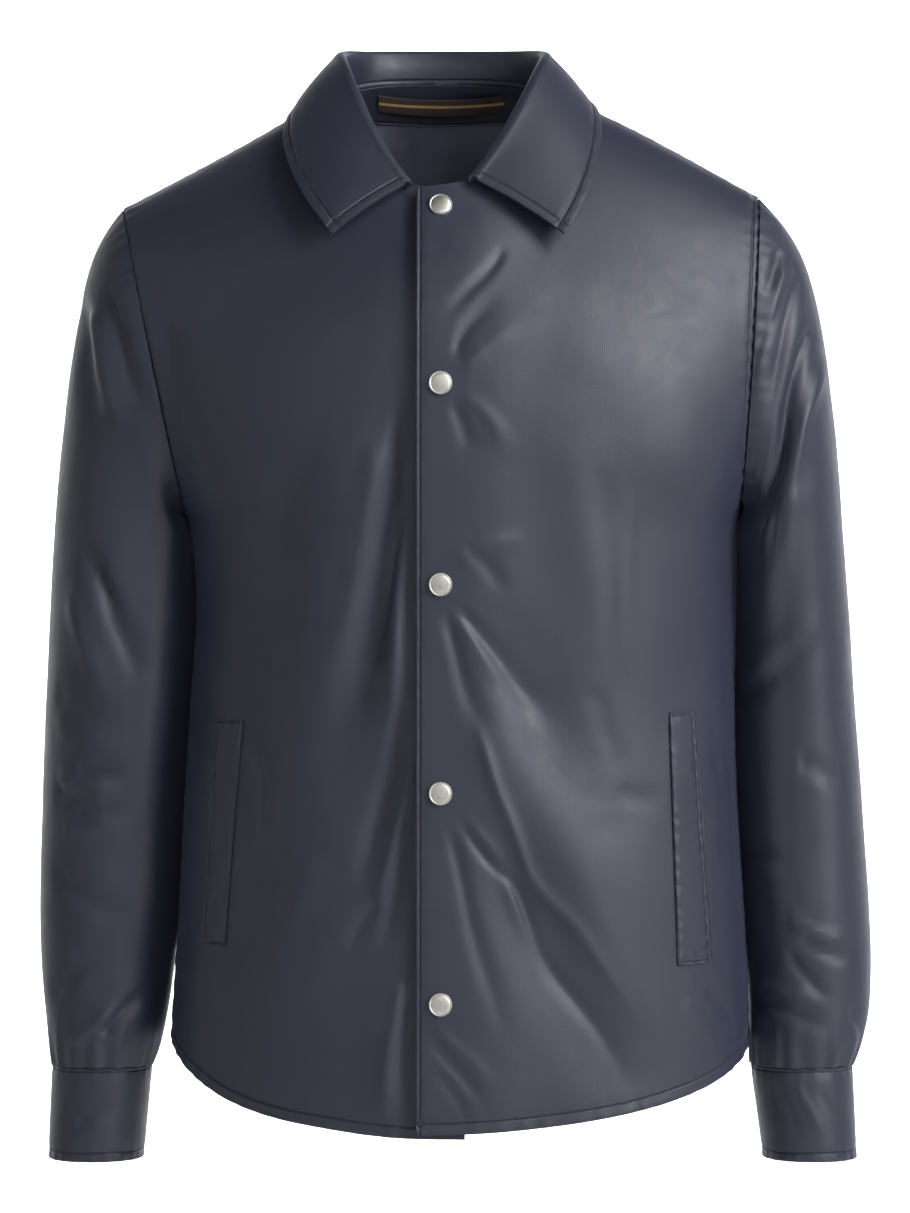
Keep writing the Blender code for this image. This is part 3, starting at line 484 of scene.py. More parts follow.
def crease_lift(places, creases):
    """How far the creases move each place, given as x and z."""
    lift = np.zeros(len(places))
    for crease in creases:
        line = smooth_line(crease.points)
        reach = CREASE_REACH * max(crease.start_width, crease.end_width)
        low, high = line.min(0) - reach, line.max(0) + reach
        near = np.flatnonzero(((places > low) & (places < high)).all(1))
        steps = np.diff(line, axis=0)
        lengths = np.linalg.norm(steps, axis=1)
        run = np.concatenate([[0], np.cumsum(lengths)])
        closest = np.full(len(near), np.inf)
        share = np.zeros(len(near))
        for start, step, length, before in zip(line, steps, lengths, run):
            offset = places[near] - start
            along = np.clip(offset @ step / max(length, 1e-6) ** 2, 0, 1)
            away = np.linalg.norm(offset - along[:, None] * step, axis=1)
            nearer = away < closest
            closest[nearer] = away[nearer]
            share[nearer] = (before + along[nearer] * length) / run[-1]
        width = crease.start_width + (crease.end_width - crease.start_width) * share
        start, end = CREASE_ENDS
        ends = smooth_step(share, 0, start) * (1 - smooth_step(share, 1 - end, 1))
        lift[near] += crease.height * crease_profile(closest / width, crease.sharp) * ends
    return lift * sizes().crease


def relief(points, normals, creases, facing, seed):
    """How far the creases move each point along its normal; facing is -1 for a front."""
    reach, wave = WANDER
    wander = np.stack([soft_noise(points, wave, seed), soft_noise(points, wave, seed + 1)], axis=1)
    shown = np.clip(facing * normals[:, 1] * FACING_GAIN + FACING_START, 0, 1)
    return crease_lift(points[:, (0, 2)] + wander * reach, creases) * shown


def swell(points, seed):
    """Soft uneven waves of the padding."""
    waves = enumerate(SWELLS)
    return sum(height * soft_noise(points, wave, seed + i) for i, (height, wave) in waves)


class Run:
    """A stretch of a piece's edge between two corners, with the way in from it."""

    def __init__(self, points, inward):
        self.points = np.array(points)
        self.inward = np.array(inward)
        steps = np.linalg.norm(np.diff(self.points, axis=0), axis=1)
        self.arcs = np.concatenate([[0], np.cumsum(steps)])
        self.length = self.arcs[-1]
        self.middle = self.points.mean(0)
        self.samples = np.arange(0, self.length, EDGE_SAMPLE)
        self.tree = KDTree(len(self.samples))
        for i, place in enumerate(self.at(self.samples)):
            self.tree.insert(place, i)
        self.tree.balance()

    def at(self, arcs, what="points"):
        """The points, or the ways in, at these lengths along the run."""
        values = getattr(self, what)
        return np.stack([np.interp(arcs, self.arcs, values[:, i]) for i in range(3)], axis=1)

    def nearest(self, points):
        """How far each point is from the run, and where along it."""
        found = [self.tree.find(p) for p in points]
        away = np.array([f[2] for f in found])
        return away, self.samples[[f[1] for f in found]]


class Cloth:
    """One piece of cloth, from its node's side that shows to its finished wall."""

    def __init__(self, name, node, facing, bend=CLOTH_BEND, short_edge=0.0):
        self.name = name
        self.node = node
        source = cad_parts[node].data.copy()
        source.materials.clear()
        self.thing = link(bpy.data.objects.new(name, source))
        self.keep_shown_side(Vector(facing), bend, short_edge * MM)
        corners = self.mark_corners()
        apply_modifier(
            self.thing,
            "SUBSURF",
            levels=SUBDIVISIONS,
            render_levels=SUBDIVISIONS,
            boundary_smooth="PRESERVE_CORNERS",
        )
        self.mesh = self.thing.data
        self.points = mesh_points(self.mesh)
        self.normals = mesh_normals(self.mesh)
        self.lift = np.zeros(len(self.points))
        self.stitch = np.full(len(self.points), NO_STITCH)
        self.runs = self.edge_runs(corners)
        self.edge_distance = np.min([run.nearest(self.points)[0] for run in self.runs], axis=0)

    def keep_shown_side(self, facing, bend, short_edge):
        """Merges the copied triangles and deletes all but the side of the wall that shows."""
        only(self.thing)
        bpy.ops.mesh.customdata_custom_splitnormals_clear()
        bpy.ops.object.mode_set(mode="EDIT")
        bpy.ops.mesh.select_all(action="SELECT")
        bpy.ops.mesh.remove_doubles(threshold=MERGE * MM)
        bpy.ops.mesh.tris_convert_to_quads(
            face_threshold=TRIANGLE_PAIR, shape_threshold=TRIANGLE_PAIR
        )
        bpy.ops.mesh.select_all(action="DESELECT")
        shape = bmesh.from_edit_mesh(self.thing.data)
        middle = sum((f.calc_center_median() for f in shape.faces), Vector()) / len(shape.faces)
        ahead = [f for f in shape.faces if (f.calc_center_median() - middle).dot(facing) > 0]
        first = max(ahead, key=lambda f: f.calc_area() * f.normal.dot(facing))
        for face in shape.faces:
            if min(edge.calc_length() for edge in face.edges) < short_edge:
                face.hide_set(True)
        first.select_set(True)
        bmesh.update_edit_mesh(self.thing.data)
        bpy.ops.mesh.select_mode(type="FACE")
        bpy.ops.mesh.faces_select_linked_flat(sharpness=bend)
        bpy.ops.mesh.reveal(select=False)
        bpy.ops.mesh.select_all(action="INVERT")
        bpy.ops.mesh.delete(type="FACE")
        bpy.ops.object.mode_set(mode="OBJECT")

    def mark_corners(self):
        """Keeps the corners of the piece's edge sharp, and returns their places."""
        shape = bmesh.new()
        shape.from_mesh(self.thing.data)
        crease = shape.verts.layers.float.new("crease_vert")
        corners = []
        for vert in shape.verts:
            ends = [e.other_vert(vert).co - vert.co for e in vert.link_edges if e.is_boundary]
            if len(ends) == 2 and ends[0].angle(-ends[1], 0) > CORNER_BEND:
                vert[crease] = 1.0
                corners.append(vert.co.copy())
        shape.to_mesh(self.thing.data)
        shape.free()
        return corners

    def edge_runs(self, corners):
        """The stretches of the piece's edge, parted at its corners."""
        shape = bmesh.new()
        shape.from_mesh(self.mesh)
        shape.verts.ensure_lookup_table()
        places = KDTree(max(len(corners), 1))
        for i, corner in enumerate(corners):
            places.insert(corner, i)
        places.balance()

        def is_corner(vert):
            return bool(corners) and places.find(vert.co)[2] < EDGE_SAMPLE * MM

        runs, used = [], set()
        starts = [v for v in shape.verts if v.is_boundary and is_corner(v)]
        starts += [v for v in shape.verts if v.is_boundary]
        for start in starts:
            for edge in [e for e in start.link_edges if e.is_boundary and e not in used]:
                chain, at = [start], start
                while edge is not None and edge not in used:
                    used.add(edge)
                    at = edge.other_vert(at)
                    chain.append(at)
                    if is_corner(at) or at == start:
                        break
                    edge = next((e for e in at.link_edges if e.is_boundary and e not in used), None)
                if len(chain) > 2:
                    runs.append(Run(*self.chain_ways(chain)))
        shape.free()
        return runs

    @staticmethod
    def chain_ways(chain):
        """A chain's points in millimetres and the way into the piece at each."""
        points = np.array([v.co for v in chain]) / MM
        steps = np.gradient(points, axis=0)
        ways = np.cross(np.array([v.normal for v in chain]), steps)
        ways /= np.maximum(np.linalg.norm(ways, axis=1, keepdims=True), 1e-9)
        half = len(chain) // 2
        face = chain[half].link_faces[0].calc_center_median()
        toward = np.array(face) / MM - points[half]
        return points, -ways if toward @ ways[half] < 0 else ways

    def run(self, key):
        """The run whose middle has the least key."""
        return min(self.runs, key=lambda run: key(run.middle))

    def side_run(self, side, height):
        """The run furthest out on a side, near that height."""
        return self.run(lambda p: -side * p[0] + 0.5 * abs(p[2] - height))

    def crease(self, creases, facing, seed, depth=1.0):
        """Adds the creases, which fade towards the piece's edges."""
        lift = relief(self.points, self.normals, creases, facing, seed) * depth
        self.lift += lift * smooth_step(self.edge_distance, 0, CREASE_FADE)

    def swell(self, seed, share=1.0):
        """Adds the padding's waves, which fade towards the piece's edges."""
        fade = smooth_step(self.edge_distance, 0, SWELL_FADE)
        self.lift += swell(self.points, seed) * share * fade

    def lean_in(self, side):
        """Swells a sleeve towards the body below the armpit, so that the two touch there."""
        z = self.points[:, 2]
        low, full, high, top = SLEEVE_LEAN_HEIGHTS
        toward = smooth_step(-side * self.normals[:, 0], *SLEEVE_LEAN_TURN)
        share = smooth_step(z, low, full) * (1 - smooth_step(z, high, top))
        self.lift += SLEEVE_LEAN * toward * share

    def pucker(self, run, kind, seed):
        """Uneven ripples beside a seam."""
        away, along = run.nearest(self.points)
        shift = [noise.noise(Vector((a / SPACING_LENGTH, seed, 0))) for a in along]
        strength = [noise.noise(Vector((a / STRENGTH_LENGTH, seed, 9))) for a in along]
        ripple = np.sin(math.tau * along / kind.pitch + SPACING_WANDER * np.array(shift))
        ripple *= STRENGTH_MEAN + STRENGTH_WANDER * np.array(strength)
        self.lift += kind.height * ripple * np.exp(-((away / kind.reach) ** 2))

    def sew(self, run, offset):
        """Sinks the cloth along a row of stitches and notes how far each point is from it."""
        away = run.nearest(self.points)[0] - offset
        self.lift -= GROOVE * np.exp(-((away / GROOVE_WIDTH) ** 2))
        nearer = np.abs(away) < np.abs(self.stitch)
        self.stitch[nearer] = away[nearer]

    def fade(self, places, near, far):
        """Flattens the relief round these places, such as under a snap."""
        for place in places:
            away = np.linalg.norm(self.points - np.array(place), axis=1)
            self.lift *= smooth_step(away, near, far)

    def raise_cloth(self):
        """Moves the side that shows by its relief."""
        self.points = self.points + self.normals * self.lift[:, None]
        set_points(self.mesh, self.points)
        self.surface = surface_of(self.thing)

    def row(self, run, offset, start=ROW_END, end=ROW_END):
        """The points of a row of stitches: offset in from a run, on the cloth, in metres."""
        arcs = np.arange(start, run.length - end, ROW_STEP)
        places = run.at(arcs) + run.at(arcs, "inward") * offset
        found = [self.surface.find_nearest(Vector(place * MM)) for place in places]
        return [place + normal * THREAD_LIFT * MM for place, normal, _, _ in found]

    def hidden_side(self, shown, wall):
        """The points that lie a wall away from the side that shows."""
        places = enumerate(mesh_points(self.mesh))
        return [i for i, p in places if shown.find(p)[2] > HIDDEN_SHARE * wall / MM]

    def close(
        self, wall, outside="satin_nylon", lining=None, share=1.0, round_edge=ROUND_EDGE, neck=None
    ):
        """Gives the cloth its wall, thins out the hidden side and rounds the edges."""
        attribute = self.mesh.attributes.new("stitch_mm", "FLOAT", "POINT")
        attribute.data.foreach_set("value", self.stitch.astype(np.float32))
        apply_modifier(self.thing, "SOLIDIFY", thickness=wall, offset=-1, use_rim=True)
        apply_modifier(
            self.thing,
            "BEVEL",
            limit_method="ANGLE",
            angle_limit=ROUND_ANGLE,
            width=round_edge * MM,
            segments=2,
        )
        shown = KDTree(len(self.points))
        for i, point in enumerate(self.points):
            shown.insert(point, i)
        shown.balance()
        if share < 1:
            hidden = self.thing.vertex_groups.new(name="hidden_side")
            hidden.add(self.hidden_side(shown, wall), 1.0, "REPLACE")
            apply_modifier(
                self.thing,
                "DECIMATE",
                ratio=share,
                vertex_group="hidden_side",
                vertex_group_factor=1.0,
            )
            self.thing.vertex_groups.clear()
        finish_piece(self.thing, outside)
        # The hidden side takes the lining, whose pale colour is painted light inside the jacket.
        if lining:
            self.thing.data.materials.append(material(lining))
            within = self.hidden_side(shown, wall)
            if neck:
                self.gather_lining(within)
                away = neck.nearest(mesh_points(self.mesh)[within])[0]
                within = [i for i, reach in zip(within, away) if reach > NECK_SEAM]
            lined = set(within)
            for polygon in self.mesh.polygons:
                polygon.material_index = int(lined.issuperset(polygon.vertices))
        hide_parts(self.node)

    def gather_lining(self, within):
        """Gathers the lining below the neck facing into upright ripples."""
        points, normals = mesh_points(self.mesh), mesh_normals(self.mesh)
        lining = points[within]
        facing = surface_of(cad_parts["back_neck_facing"])
        clear = np.array([facing.find_nearest(Vector(p * MM))[3] for p in lining]) / MM
        x, z = lining[:, 0], lining[:, 2]
        wander = soft_noise(lining, GATHER_WANDER_LENGTH, 5) * GATHER_WANDER
        spread = (z + GATHER_TOP) * GATHER_SPREAD * np.sign(x)
        ripple = np.sin(math.tau * (x + wander + spread) / GATHER_PITCH)
        strength = GATHER_MEAN + GATHER_UNEVEN * soft_noise(lining, GATHER_UNEVEN_LENGTH, 8)
        reach = smooth_step(z, *GATHER_HEIGHTS) * (1 - smooth_step(np.abs(x), *GATHER_SIDES))
        reach *= smooth_step(clear, *GATHER_CLEAR)
        points[within] += normals[within] * (GATHER_HEIGHT * ripple * strength * reach)[:, None]
        set_points(self.mesh, points)


def surface_of(thing):
    """A search tree of the thing's faces, in metres."""
    mesh = thing.data
    return BVHTree.FromPolygons(
        [v.co for v in mesh.vertices], [tuple(p.vertices) for p in mesh.polygons]
    )


def link(thing):
    """Puts a new object in the scene."""
    bpy.context.scene.collection.objects.link(thing)
    return thing


def finish_piece(thing, name):
    """Smooth shading, the material of that name and its body."""
    thing.data.materials.clear()
    thing.data.materials.append(material(name))
    only(thing)
    bpy.ops.object.shade_smooth()
    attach(thing, BODY)


def stitch_shape():
    """One stitch: a short thread with rounded ends, along X."""
    bpy.ops.object.select_all(action="DESELECT")
    bpy.ops.mesh.primitive_uv_sphere_add(segments=6, ring_count=5, radius=0.5)
    stitch = bpy.context.object
    stitch.dimensions = (sizes().thread, sizes().thread, sizes().stitch)
    stitch.rotation_euler = (0, math.radians(90), 0)
    bpy.ops.object.transform_apply(location=True, rotation=True, scale=True)
    return stitch


def sew_rows(name, rows):
    """Rows of stitches as one piece; each row is the points that it follows, in metres."""
    made = []
    pitch = sizes().stitch + sizes().stitch_gap
    pattern = stitch_shape()
    for row in rows:
        length = np.linalg.norm(np.diff(row, axis=0), axis=1).sum()
        path = bpy.data.curves.new(name + "_path", "CURVE")
        path.dimensions = "3D"
        spline = path.splines.new("POLY")
        spline.points.add(len(row) - 1)
        for point, place in zip(spline.points, row):
            point.co = (*place, 1)
        guide = link(bpy.data.objects.new(name + "_path", path))
        stitch = link(bpy.data.objects.new(name, pattern.data.copy()))
        apply_modifier(
            stitch,
            "ARRAY",
            count=max(2, int(length / pitch)),
            use_relative_offset=False,
            use_constant_offset=True,
            constant_offset_displace=(pitch, 0, 0),
        )
        apply_modifier(stitch, "CURVE", object=guide, deform_axis="POS_X")
        bpy.data.objects.remove(guide)
        made.append(stitch)
    bpy.data.objects.remove(pattern)
    bpy.ops.object.select_all(action="DESELECT")
    for stitch in made:
        stitch.select_set(True)
    bpy.context.view_layer.objects.active = made[0]
    if len(made) > 1:
        bpy.ops.object.join()
    thing = bpy.context.view_layer.objects.active
    thing.name = name
    finish_piece(thing, "polyester_thread")
    return thing


def feed(tree, node, inputs):
    """Sets a node's inputs: each to a value, or wired to what feeds it."""
    for name, value in inputs.items():
        if isinstance(value, bpy.types.NodeSocket):
            tree.links.new(value, node.inputs[name])
        else:
            node.inputs[name].default_value = value


def add_node(tree, kind, inputs=None, **settings):
    """Adds a shader node: settings are its properties, inputs its values or what feeds them."""
    made = tree.nodes.new("ShaderNode" + kind)
    for name, value in settings.items():
        setattr(made, name, value)
    feed(tree, made, inputs or {})
    return made


def new_material(name):
    """An empty material, its node tree, its shader wired to the output, and Object places."""
    made = bpy.data.materials.new(name)
    made.use_nodes = True
    tree = made.node_tree
    tree.nodes.clear()
    shader = add_node(tree, "BsdfPrincipled")
    add_node(tree, "OutputMaterial", {"Surface": shader.outputs["BSDF"]})
    return made, tree, shader, add_node(tree, "TexCoord").outputs["Object"]


def rgba(colour):
    return (*colour, 1.0)


def grain(tree, place, size, **more):
    """Noise whose patches are about that many millimetres wide."""
    inputs = {"Vector": place, "Scale": 1 / (size * MM), **more}
    return add_node(tree, "TexNoise", inputs).outputs["Fac"]


def bands(tree, place, pitch, direction, **more):
    """Waves that many millimetres apart; at scale 1 the texture has 20 / tau of them a metre."""
    inputs = {"Vector": place, "Scale": math.tau / (pitch * MM) / 20, **more}
    return add_node(tree, "TexWave", inputs, bands_direction=direction).outputs["Fac"]


def blend(tree, share, first, second, kind="MIX"):
    """A colour between two; the node's colours are its inputs 6 and 7 and its output 2."""
    inputs = {0: share, 6: first, 7: second}
    return add_node(tree, "Mix", inputs, data_type="RGBA", blend_type=kind).outputs[2]


def bump(tree, height, strength, depth, below=None):
    """Relief of that depth in millimetres, over the relief below it."""
    inputs = {"Height": height, "Strength": strength, "Distance": depth * MM}
    if below:
        inputs["Normal"] = below
    return add_node(tree, "Bump", inputs).outputs["Normal"]


def remap(tree, value, old=(0, 1), new=(0, 1), kind="LINEAR"):
    """A value carried from one range to another."""
    ends = zip(("From Min", "From Max", "To Min", "To Max"), (*old, *new))
    inputs = {"Value": value, **dict(ends)}
    return add_node(tree, "MapRange", inputs, interpolation_type=kind).outputs["Result"]


def calculate(tree, kind, *values):
    """The result of one sum."""
    return add_node(tree, "Math", dict(enumerate(values)), operation=kind).outputs["Value"]


def satin_nylon():
    """Tightly woven nylon taffeta, calendered: dark dye, wide soft highlights, crisp at folds."""
    return taffeta("satin_nylon", colours().shell_deep, colours().shell)


def painted_lit_lining():
    """The lining: the same woven taffeta as the shell, its tones painted paler as painted light falling
    inside the jacket.
    """
    return taffeta("painted_lit_lining", colours().shell, colours().lining)


def taffeta(name, deep, pale):
    """Woven nylon between two tones, sunk along the rows of stitches and darkened there by painted shade.
    """
    made, tree, shader, place = new_material(name)
    tone = grain(tree, place, 71.43, Detail=3.0, Roughness=0.6)
    dye = blend(tree, tone, rgba(deep), rgba(pale))
    # Thread spacing is 0.2 mm, too fine to show, so the weave is drawn at 1.4 mm
    threads = [bands(tree, place, 1.4, way, Distortion=0.6, Detail=1.0) for way in "XZ"]
    crumple = grain(tree, place, 18.18, Detail=4.0, Roughness=0.55, Distortion=0.8)
    stitch = add_node(tree, "Attribute", attribute_name="stitch_mm").outputs["Fac"]
    away = calculate(tree, "ABSOLUTE", stitch)
    groove = remap(tree, away, (0.1, 1.3), kind="SMOOTHSTEP")
    crumpled = bump(tree, crumple, 0.18, 1.2)
    woven = bump(tree, calculate(tree, "ADD", *threads), 0.10, 0.2, crumpled)
    # Painted shade: the cloth's colour is darkened to 0.72 along the rows of stitches, as shade falling
    # in their grooves.
    painted_groove_shade = remap(tree, groove, new=(0.72, 1.0))
    inputs = {
        "Base Color": blend(tree, 1.0, dye, painted_groove_shade, "MULTIPLY"),
        "Roughness": remap(tree, crumple, (0.3, 0.7), (0.46, 0.54)),
        "Normal": bump(tree, groove, 0.7, 0.9, woven),
        "IOR": 1.53,
        "Specular IOR Level": 0.5,
        "Sheen Weight": 0.18,
        "Sheen Roughness": 0.45,
        "Sheen Tint": rgba(linear("A3ADD0")),
    }
    feed(tree, shader, inputs)
    return made


def sewing_thread():
    """Spun polyester thread: matt, twisted, a shade darker than the cloth it sinks into."""
    made, tree, shader, place = new_material("polyester_thread")
    twist = grain(tree, place, 0.3846, Detail=2.0)
    inputs = {
        "Base Color": blend(tree, twist, rgba(colours().thread), rgba(colours().shell)),
        "Normal": bump(tree, twist, 0.4, 0.1),
        "Roughness": 0.62,
    }
    feed(tree, shader, inputs)
    return made


def woven_tape():
    """Woven polyester tape: ribbed across, dull brown, with a pale stripe in its middle."""
    made, tree, shader, place = new_material("woven_tape")
    low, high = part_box("hanger_tape")
    shift = {"Vector": place, "Location": tuple((low + high) / -2)}
    centred = add_node(tree, "Mapping", shift, vector_type="POINT").outputs["Vector"]
    parts = add_node(tree, "SeparateXYZ", {"Vector": centred}).outputs
    sag = calculate(tree, "POWER", parts["X"], 2.0)
    level = calculate(tree, "MULTIPLY_ADD", sag, STRIPE_SAG, parts["Z"])
    away = calculate(tree, "ABSOLUTE", calculate(tree, "ADD", level, STRIPE_RISE * MM))
    edge = (STRIPE_HALF * 0.7 * MM, STRIPE_HALF * 1.3 * MM)
    stripe = remap(tree, away, edge, (1, 0))
    fuzz = grain(tree, place, 1.1111, Detail=2.0)
    ground = blend(tree, fuzz, rgba(linear("2C231E")), rgba(colours().tape))
    rib = bands(tree, place, 0.9, "X", Distortion=0.3)
    inputs = {
        "Base Color": blend(tree, stripe, ground, rgba(colours().stripe)),
        "Normal": bump(tree, rib, 0.6, 0.3),
        "Roughness": 0.75,
        "Sheen Weight": 0.2,
    }
    feed(tree, shader, inputs)
    return made


def brushed_nickel():
    """Nickel-plated brass, tumbled and brushed: pale warm grey, with a soft broken highlight."""
    made, tree, shader, place = new_material("brushed_nickel")
    # Brush marks are 0.05 mm wide, too fine to show, so they are drawn at about 0.2 mm
    drawn_out = {"Vector": place, "Scale": (1.0, 1.0, 14.0)}
    stretched = add_node(tree, "Mapping", drawn_out).outputs["Vector"]
    brush = grain(tree, stretched, 3.2, Detail=4.0, Roughness=0.7)
    wear = grain(tree, place, 2.381, Detail=2.0)
    inputs = {
        "Base Color": blend(tree, wear, rgba(linear("B5B2AB")), rgba(colours().snap)),
        "Roughness": remap(tree, brush, new=(0.3, 0.52)),
        "Normal": bump(tree, brush, 0.25, 0.1),
        "Metallic": 1.0,
    }
    feed(tree, shader, inputs)
    return made


def painted_floor():
    """Matt white studio paint: nearly no gloss, a trace of roller texture."""
    made, tree, shader, place = new_material("studio_paint")
    roller = grain(tree, place, 16.667, Detail=3.0)
    tone = blend(tree, roller, rgba(linear("F5F5F4")), rgba(colours().floor))
    feed(tree, shader, {"Base Color": tone, "Roughness": 0.9})
    return made


MAKERS = {
    "satin_nylon": satin_nylon,
    "painted_lit_lining": painted_lit_lining,
    "polyester_thread": sewing_thread,
    "woven_tape": woven_tape,
    "brushed_nickel": brushed_nickel,
    "studio_paint": painted_floor,
}


def material(name):
    """The material of that name, made the first time it is asked for."""
    return bpy.data.materials.get(name) or MAKERS[name]()


def snap_places():
    """The middle of each snap cap in millimetres."""
    boxes = [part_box(f"snap_cap_{number}") for number in SNAPS]
    return [tuple((low + high) / 2 / MM) for low, high in boxes]


class JACKET_OT_fronts(bpy.types.Operator):
    """Both fronts, the wearer's left on top, with their hems and the edge row"""

    bl_idname = "jacket.fronts"
    bl_label = "Fronts"

    def execute(self, context):
        for side, node, creases, depth in (
            (1, "front_left", LEFT_FRONT_CREASES, 1.0),
            (-1, "front_right", RIGHT_FRONT_CREASES, RIGHT_FRONT_DEPTH),
        ):
            cloth = Cloth(node + "_cloth", node, (0, -1, 0))
            hem = cloth.run(lambda p: p[2])
            edge = cloth.run(lambda p: side * p[0] + 0.1 * abs(p[2] - FRONT_EDGE_HEIGHT))
            armhole = cloth.side_run(side, ARMHOLE_HEIGHT)
            seam = cloth.side_run(side, SIDE_SEAM_HEIGHT)
            sewn = [(hem, sizes().hem_row / MM)]
            cloth.crease(creases, -1, 1, depth=depth)
            cloth.swell(3 + side)
            if side > 0:
                sewn += [(edge, sizes().edge_row / MM), (armhole, ARMHOLE_ROW)]
                cloth.pucker(edge, EDGE_PUCKER, 11)
            cloth.pucker(hem, HEM_PUCKER, 12 + side)
            cloth.pucker(armhole, ARMHOLE_PUCKER, 14 + side)
            cloth.pucker(seam, SIDE_PUCKER, 16 + side)
            cloth.fade(snap_places(), SNAP_FLAT, SNAP_CLEAR)
            for run, offset in sewn:
                cloth.sew(run, offset)
            cloth.raise_cloth()
            rows = [cloth.row(run, offset) for run, offset in sewn]
            cloth.close(sizes().wall, lining="painted_lit_lining", share=0.66)
            sew_rows(node + "_stitching", rows)
        return {"FINISHED"}


class JACKET_OT_back(bpy.types.Operator):
    """The back in one piece, with its hem row"""

    bl_idname = "jacket.back"
    bl_label = "Back"

    def execute(self, context):
        cloth = Cloth("back_cloth", "back", (0, 1, 0))
        hem = cloth.run(lambda p: p[2] + abs(p[0]))
        neck = cloth.run(lambda p: abs(p[0]) - p[2])
        cloth.crease(BACK_CREASES, 1, 21)
        cloth.swell(23)
        cloth.pucker(hem, HEM_PUCKER, 24)
        for side in (1, -1):
            shoulder = cloth.run(lambda p: -0.3 * side * p[0] - p[2] + abs(p[0] - side * SHOULDER_MIDDLE))
            cloth.pucker(cloth.side_run(side, ARMHOLE_HEIGHT), ARMHOLE_PUCKER, 25 + side)
            cloth.pucker(cloth.side_run(side, SIDE_SEAM_HEIGHT), SIDE_PUCKER, 27 + side)
            cloth.pucker(shoulder, SHOULDER_PUCKER, 29 + side)
        hem_row = sizes().hem_row / MM
        cloth.sew(hem, hem_row)
        cloth.raise_cloth()
        rows = [cloth.row(hem, hem_row)]
        cloth.close(sizes().wall, lining="painted_lit_lining", share=0.62, neck=neck)
        sew_rows("back_stitching", rows)
        return {"FINISHED"}


class JACKET_OT_sleeves(bpy.types.Operator):
    """Both sleeves, set into the armholes and gathered a little into the cuffs"""

    bl_idname = "jacket.sleeves"
    bl_label = "Sleeves"

    def execute(self, context):
        for side, word, creases, depth in (
            (1, "left", LEFT_SLEEVE_CREASES, LEFT_SLEEVE_DEPTH),
            (-1, "right", RIGHT_SLEEVE_CREASES, RIGHT_SLEEVE_DEPTH),
        ):
            node = "sleeve_" + word
            cloth = Cloth(node + "_cloth", node, (side, 0, 0), short_edge=3.3)
            armhole = cloth.run(lambda p: -p[2])
            wrist = cloth.run(lambda p: p[2])
            turned = [
                crease._replace(points=[(side * x, z) for x, z in crease.points])
                for crease in SLEEVE_BACK_CREASES
            ]
            cloth.crease(creases, -1, 31 + side, depth=depth)
            cloth.crease(turned, 1, 33 + side, depth=SLEEVE_BACK_DEPTH)
            cloth.swell(35 + side, 1.2)
            cloth.lean_in(side)
            cloth.pucker(armhole, ARMHOLE_PUCKER, 37 + side)
            cloth.pucker(wrist, CUFF_GATHER, 39 + side)
            cloth.raise_cloth()
            cloth.close(sizes().wall, lining="painted_lit_lining", share=0.66)
        return {"FINISHED"}


class JACKET_OT_cuffs(bpy.types.Operator):
    """Both cuffs, with a row at each end"""

    bl_idname = "jacket.cuffs"
    bl_label = "Cuffs"

    def execute(self, context):
        for side, word in ((1, "left"), (-1, "right")):
            node = "cuff_" + word
            cloth = Cloth(node + "_cloth", node, (side, 0, 0))
            top = cloth.run(lambda p: -p[2])
            hem = cloth.run(lambda p: p[2])
            cloth.crease(CUFF_CREASES[side], -1, 41 + side)
            cloth.swell(43 + side, 0.6)
            cloth.pucker(top, CUFF_PUCKER, 45 + side)
            cloth.pucker(hem, CUFF_PUCKER, 47 + side)
            cloth.sew(top, CUFF_TOP_ROW)
            cloth.sew(hem, CUFF_HEM_ROW)
            cloth.raise_cloth()
            rows = [cloth.row(top, CUFF_TOP_ROW, 0, 0), cloth.row(hem, CUFF_HEM_ROW, 0, 0)]
            cloth.close(sizes().wall)
            sew_rows(node + "_stitching", rows)
        return {"FINISHED"}


class JACKET_OT_collar(bpy.types.Operator):
    """The turned-down collar, topstitched along its ends and its outer edge"""

    bl_idname = "jacket.collar"
    bl_label = "Collar"

    def execute(self, context):
        cloth = Cloth("collar_cloth", "collar", (0, 0, 1), bend=COLLAR_BEND)
        outer, _, *ends = sorted(cloth.runs, key=lambda run: -run.length)[:4]
        cloth.swell(51, 0.5)
        cloth.pucker(outer, COLLAR_PUCKER, 52)
        row = sizes().collar_row / MM
        for run in (outer, *ends):
            cloth.sew(run, row)
        cloth.raise_cloth()
        rows = [cloth.row(outer, row, row, row)]
        rows += [cloth.row(end, row, row, COLLAR_ROLL) for end in ends]
        cloth.close(sizes().collar_wall)
        sew_rows("collar_stitching", rows)
        return {"FINISHED"}


class JACKET_OT_pocket_welts(bpy.types.Operator):
    """The slanted pocket welts, laid on the creased fronts"""

    bl_idname = "jacket.pocket_welts"
    bl_label = "Pocket welts"

    def execute(self, context):
        for side, word in ((1, "left"), (-1, "right")):
            node = "pocket_welt_" + word
            front = surface_of(bpy.data.objects[f"front_{word}_cloth"])
            cloth = Cloth(node + "_cloth", node, (0, -1, 0))
            lay_on(cloth, front, sizes().welt_wall / MM + WELT_GAP)
            for number, run in enumerate(cloth.runs):
                cloth.pucker(run, WELT_PUCKER, 61 + number)
                cloth.sew(run, WELT_ROW)
            cloth.raise_cloth()
            rows = [cloth.row(run, WELT_ROW, WELT_ROW, WELT_ROW) for run in cloth.runs]
            cloth.close(sizes().welt_wall, round_edge=0.5)
            sew_rows(node + "_stitching", rows)
        return {"FINISHED"}


def lay_on(cloth, surface, height):
    """Moves a piece's shown side to that height over the cloth below it."""
    back = Vector((0, 1, 0))
    for i, (x, _, z) in enumerate(cloth.points):
        ahead = Vector((x * MM, BEFORE_JACKET * MM, z * MM))
        place, normal, _, _ = surface.ray_cast(ahead, back)
        if place is not None:
            cloth.points[i] = np.array(place + normal * height * MM) / MM
    set_points(cloth.mesh, cloth.points)
    cloth.normals = mesh_normals(cloth.mesh)


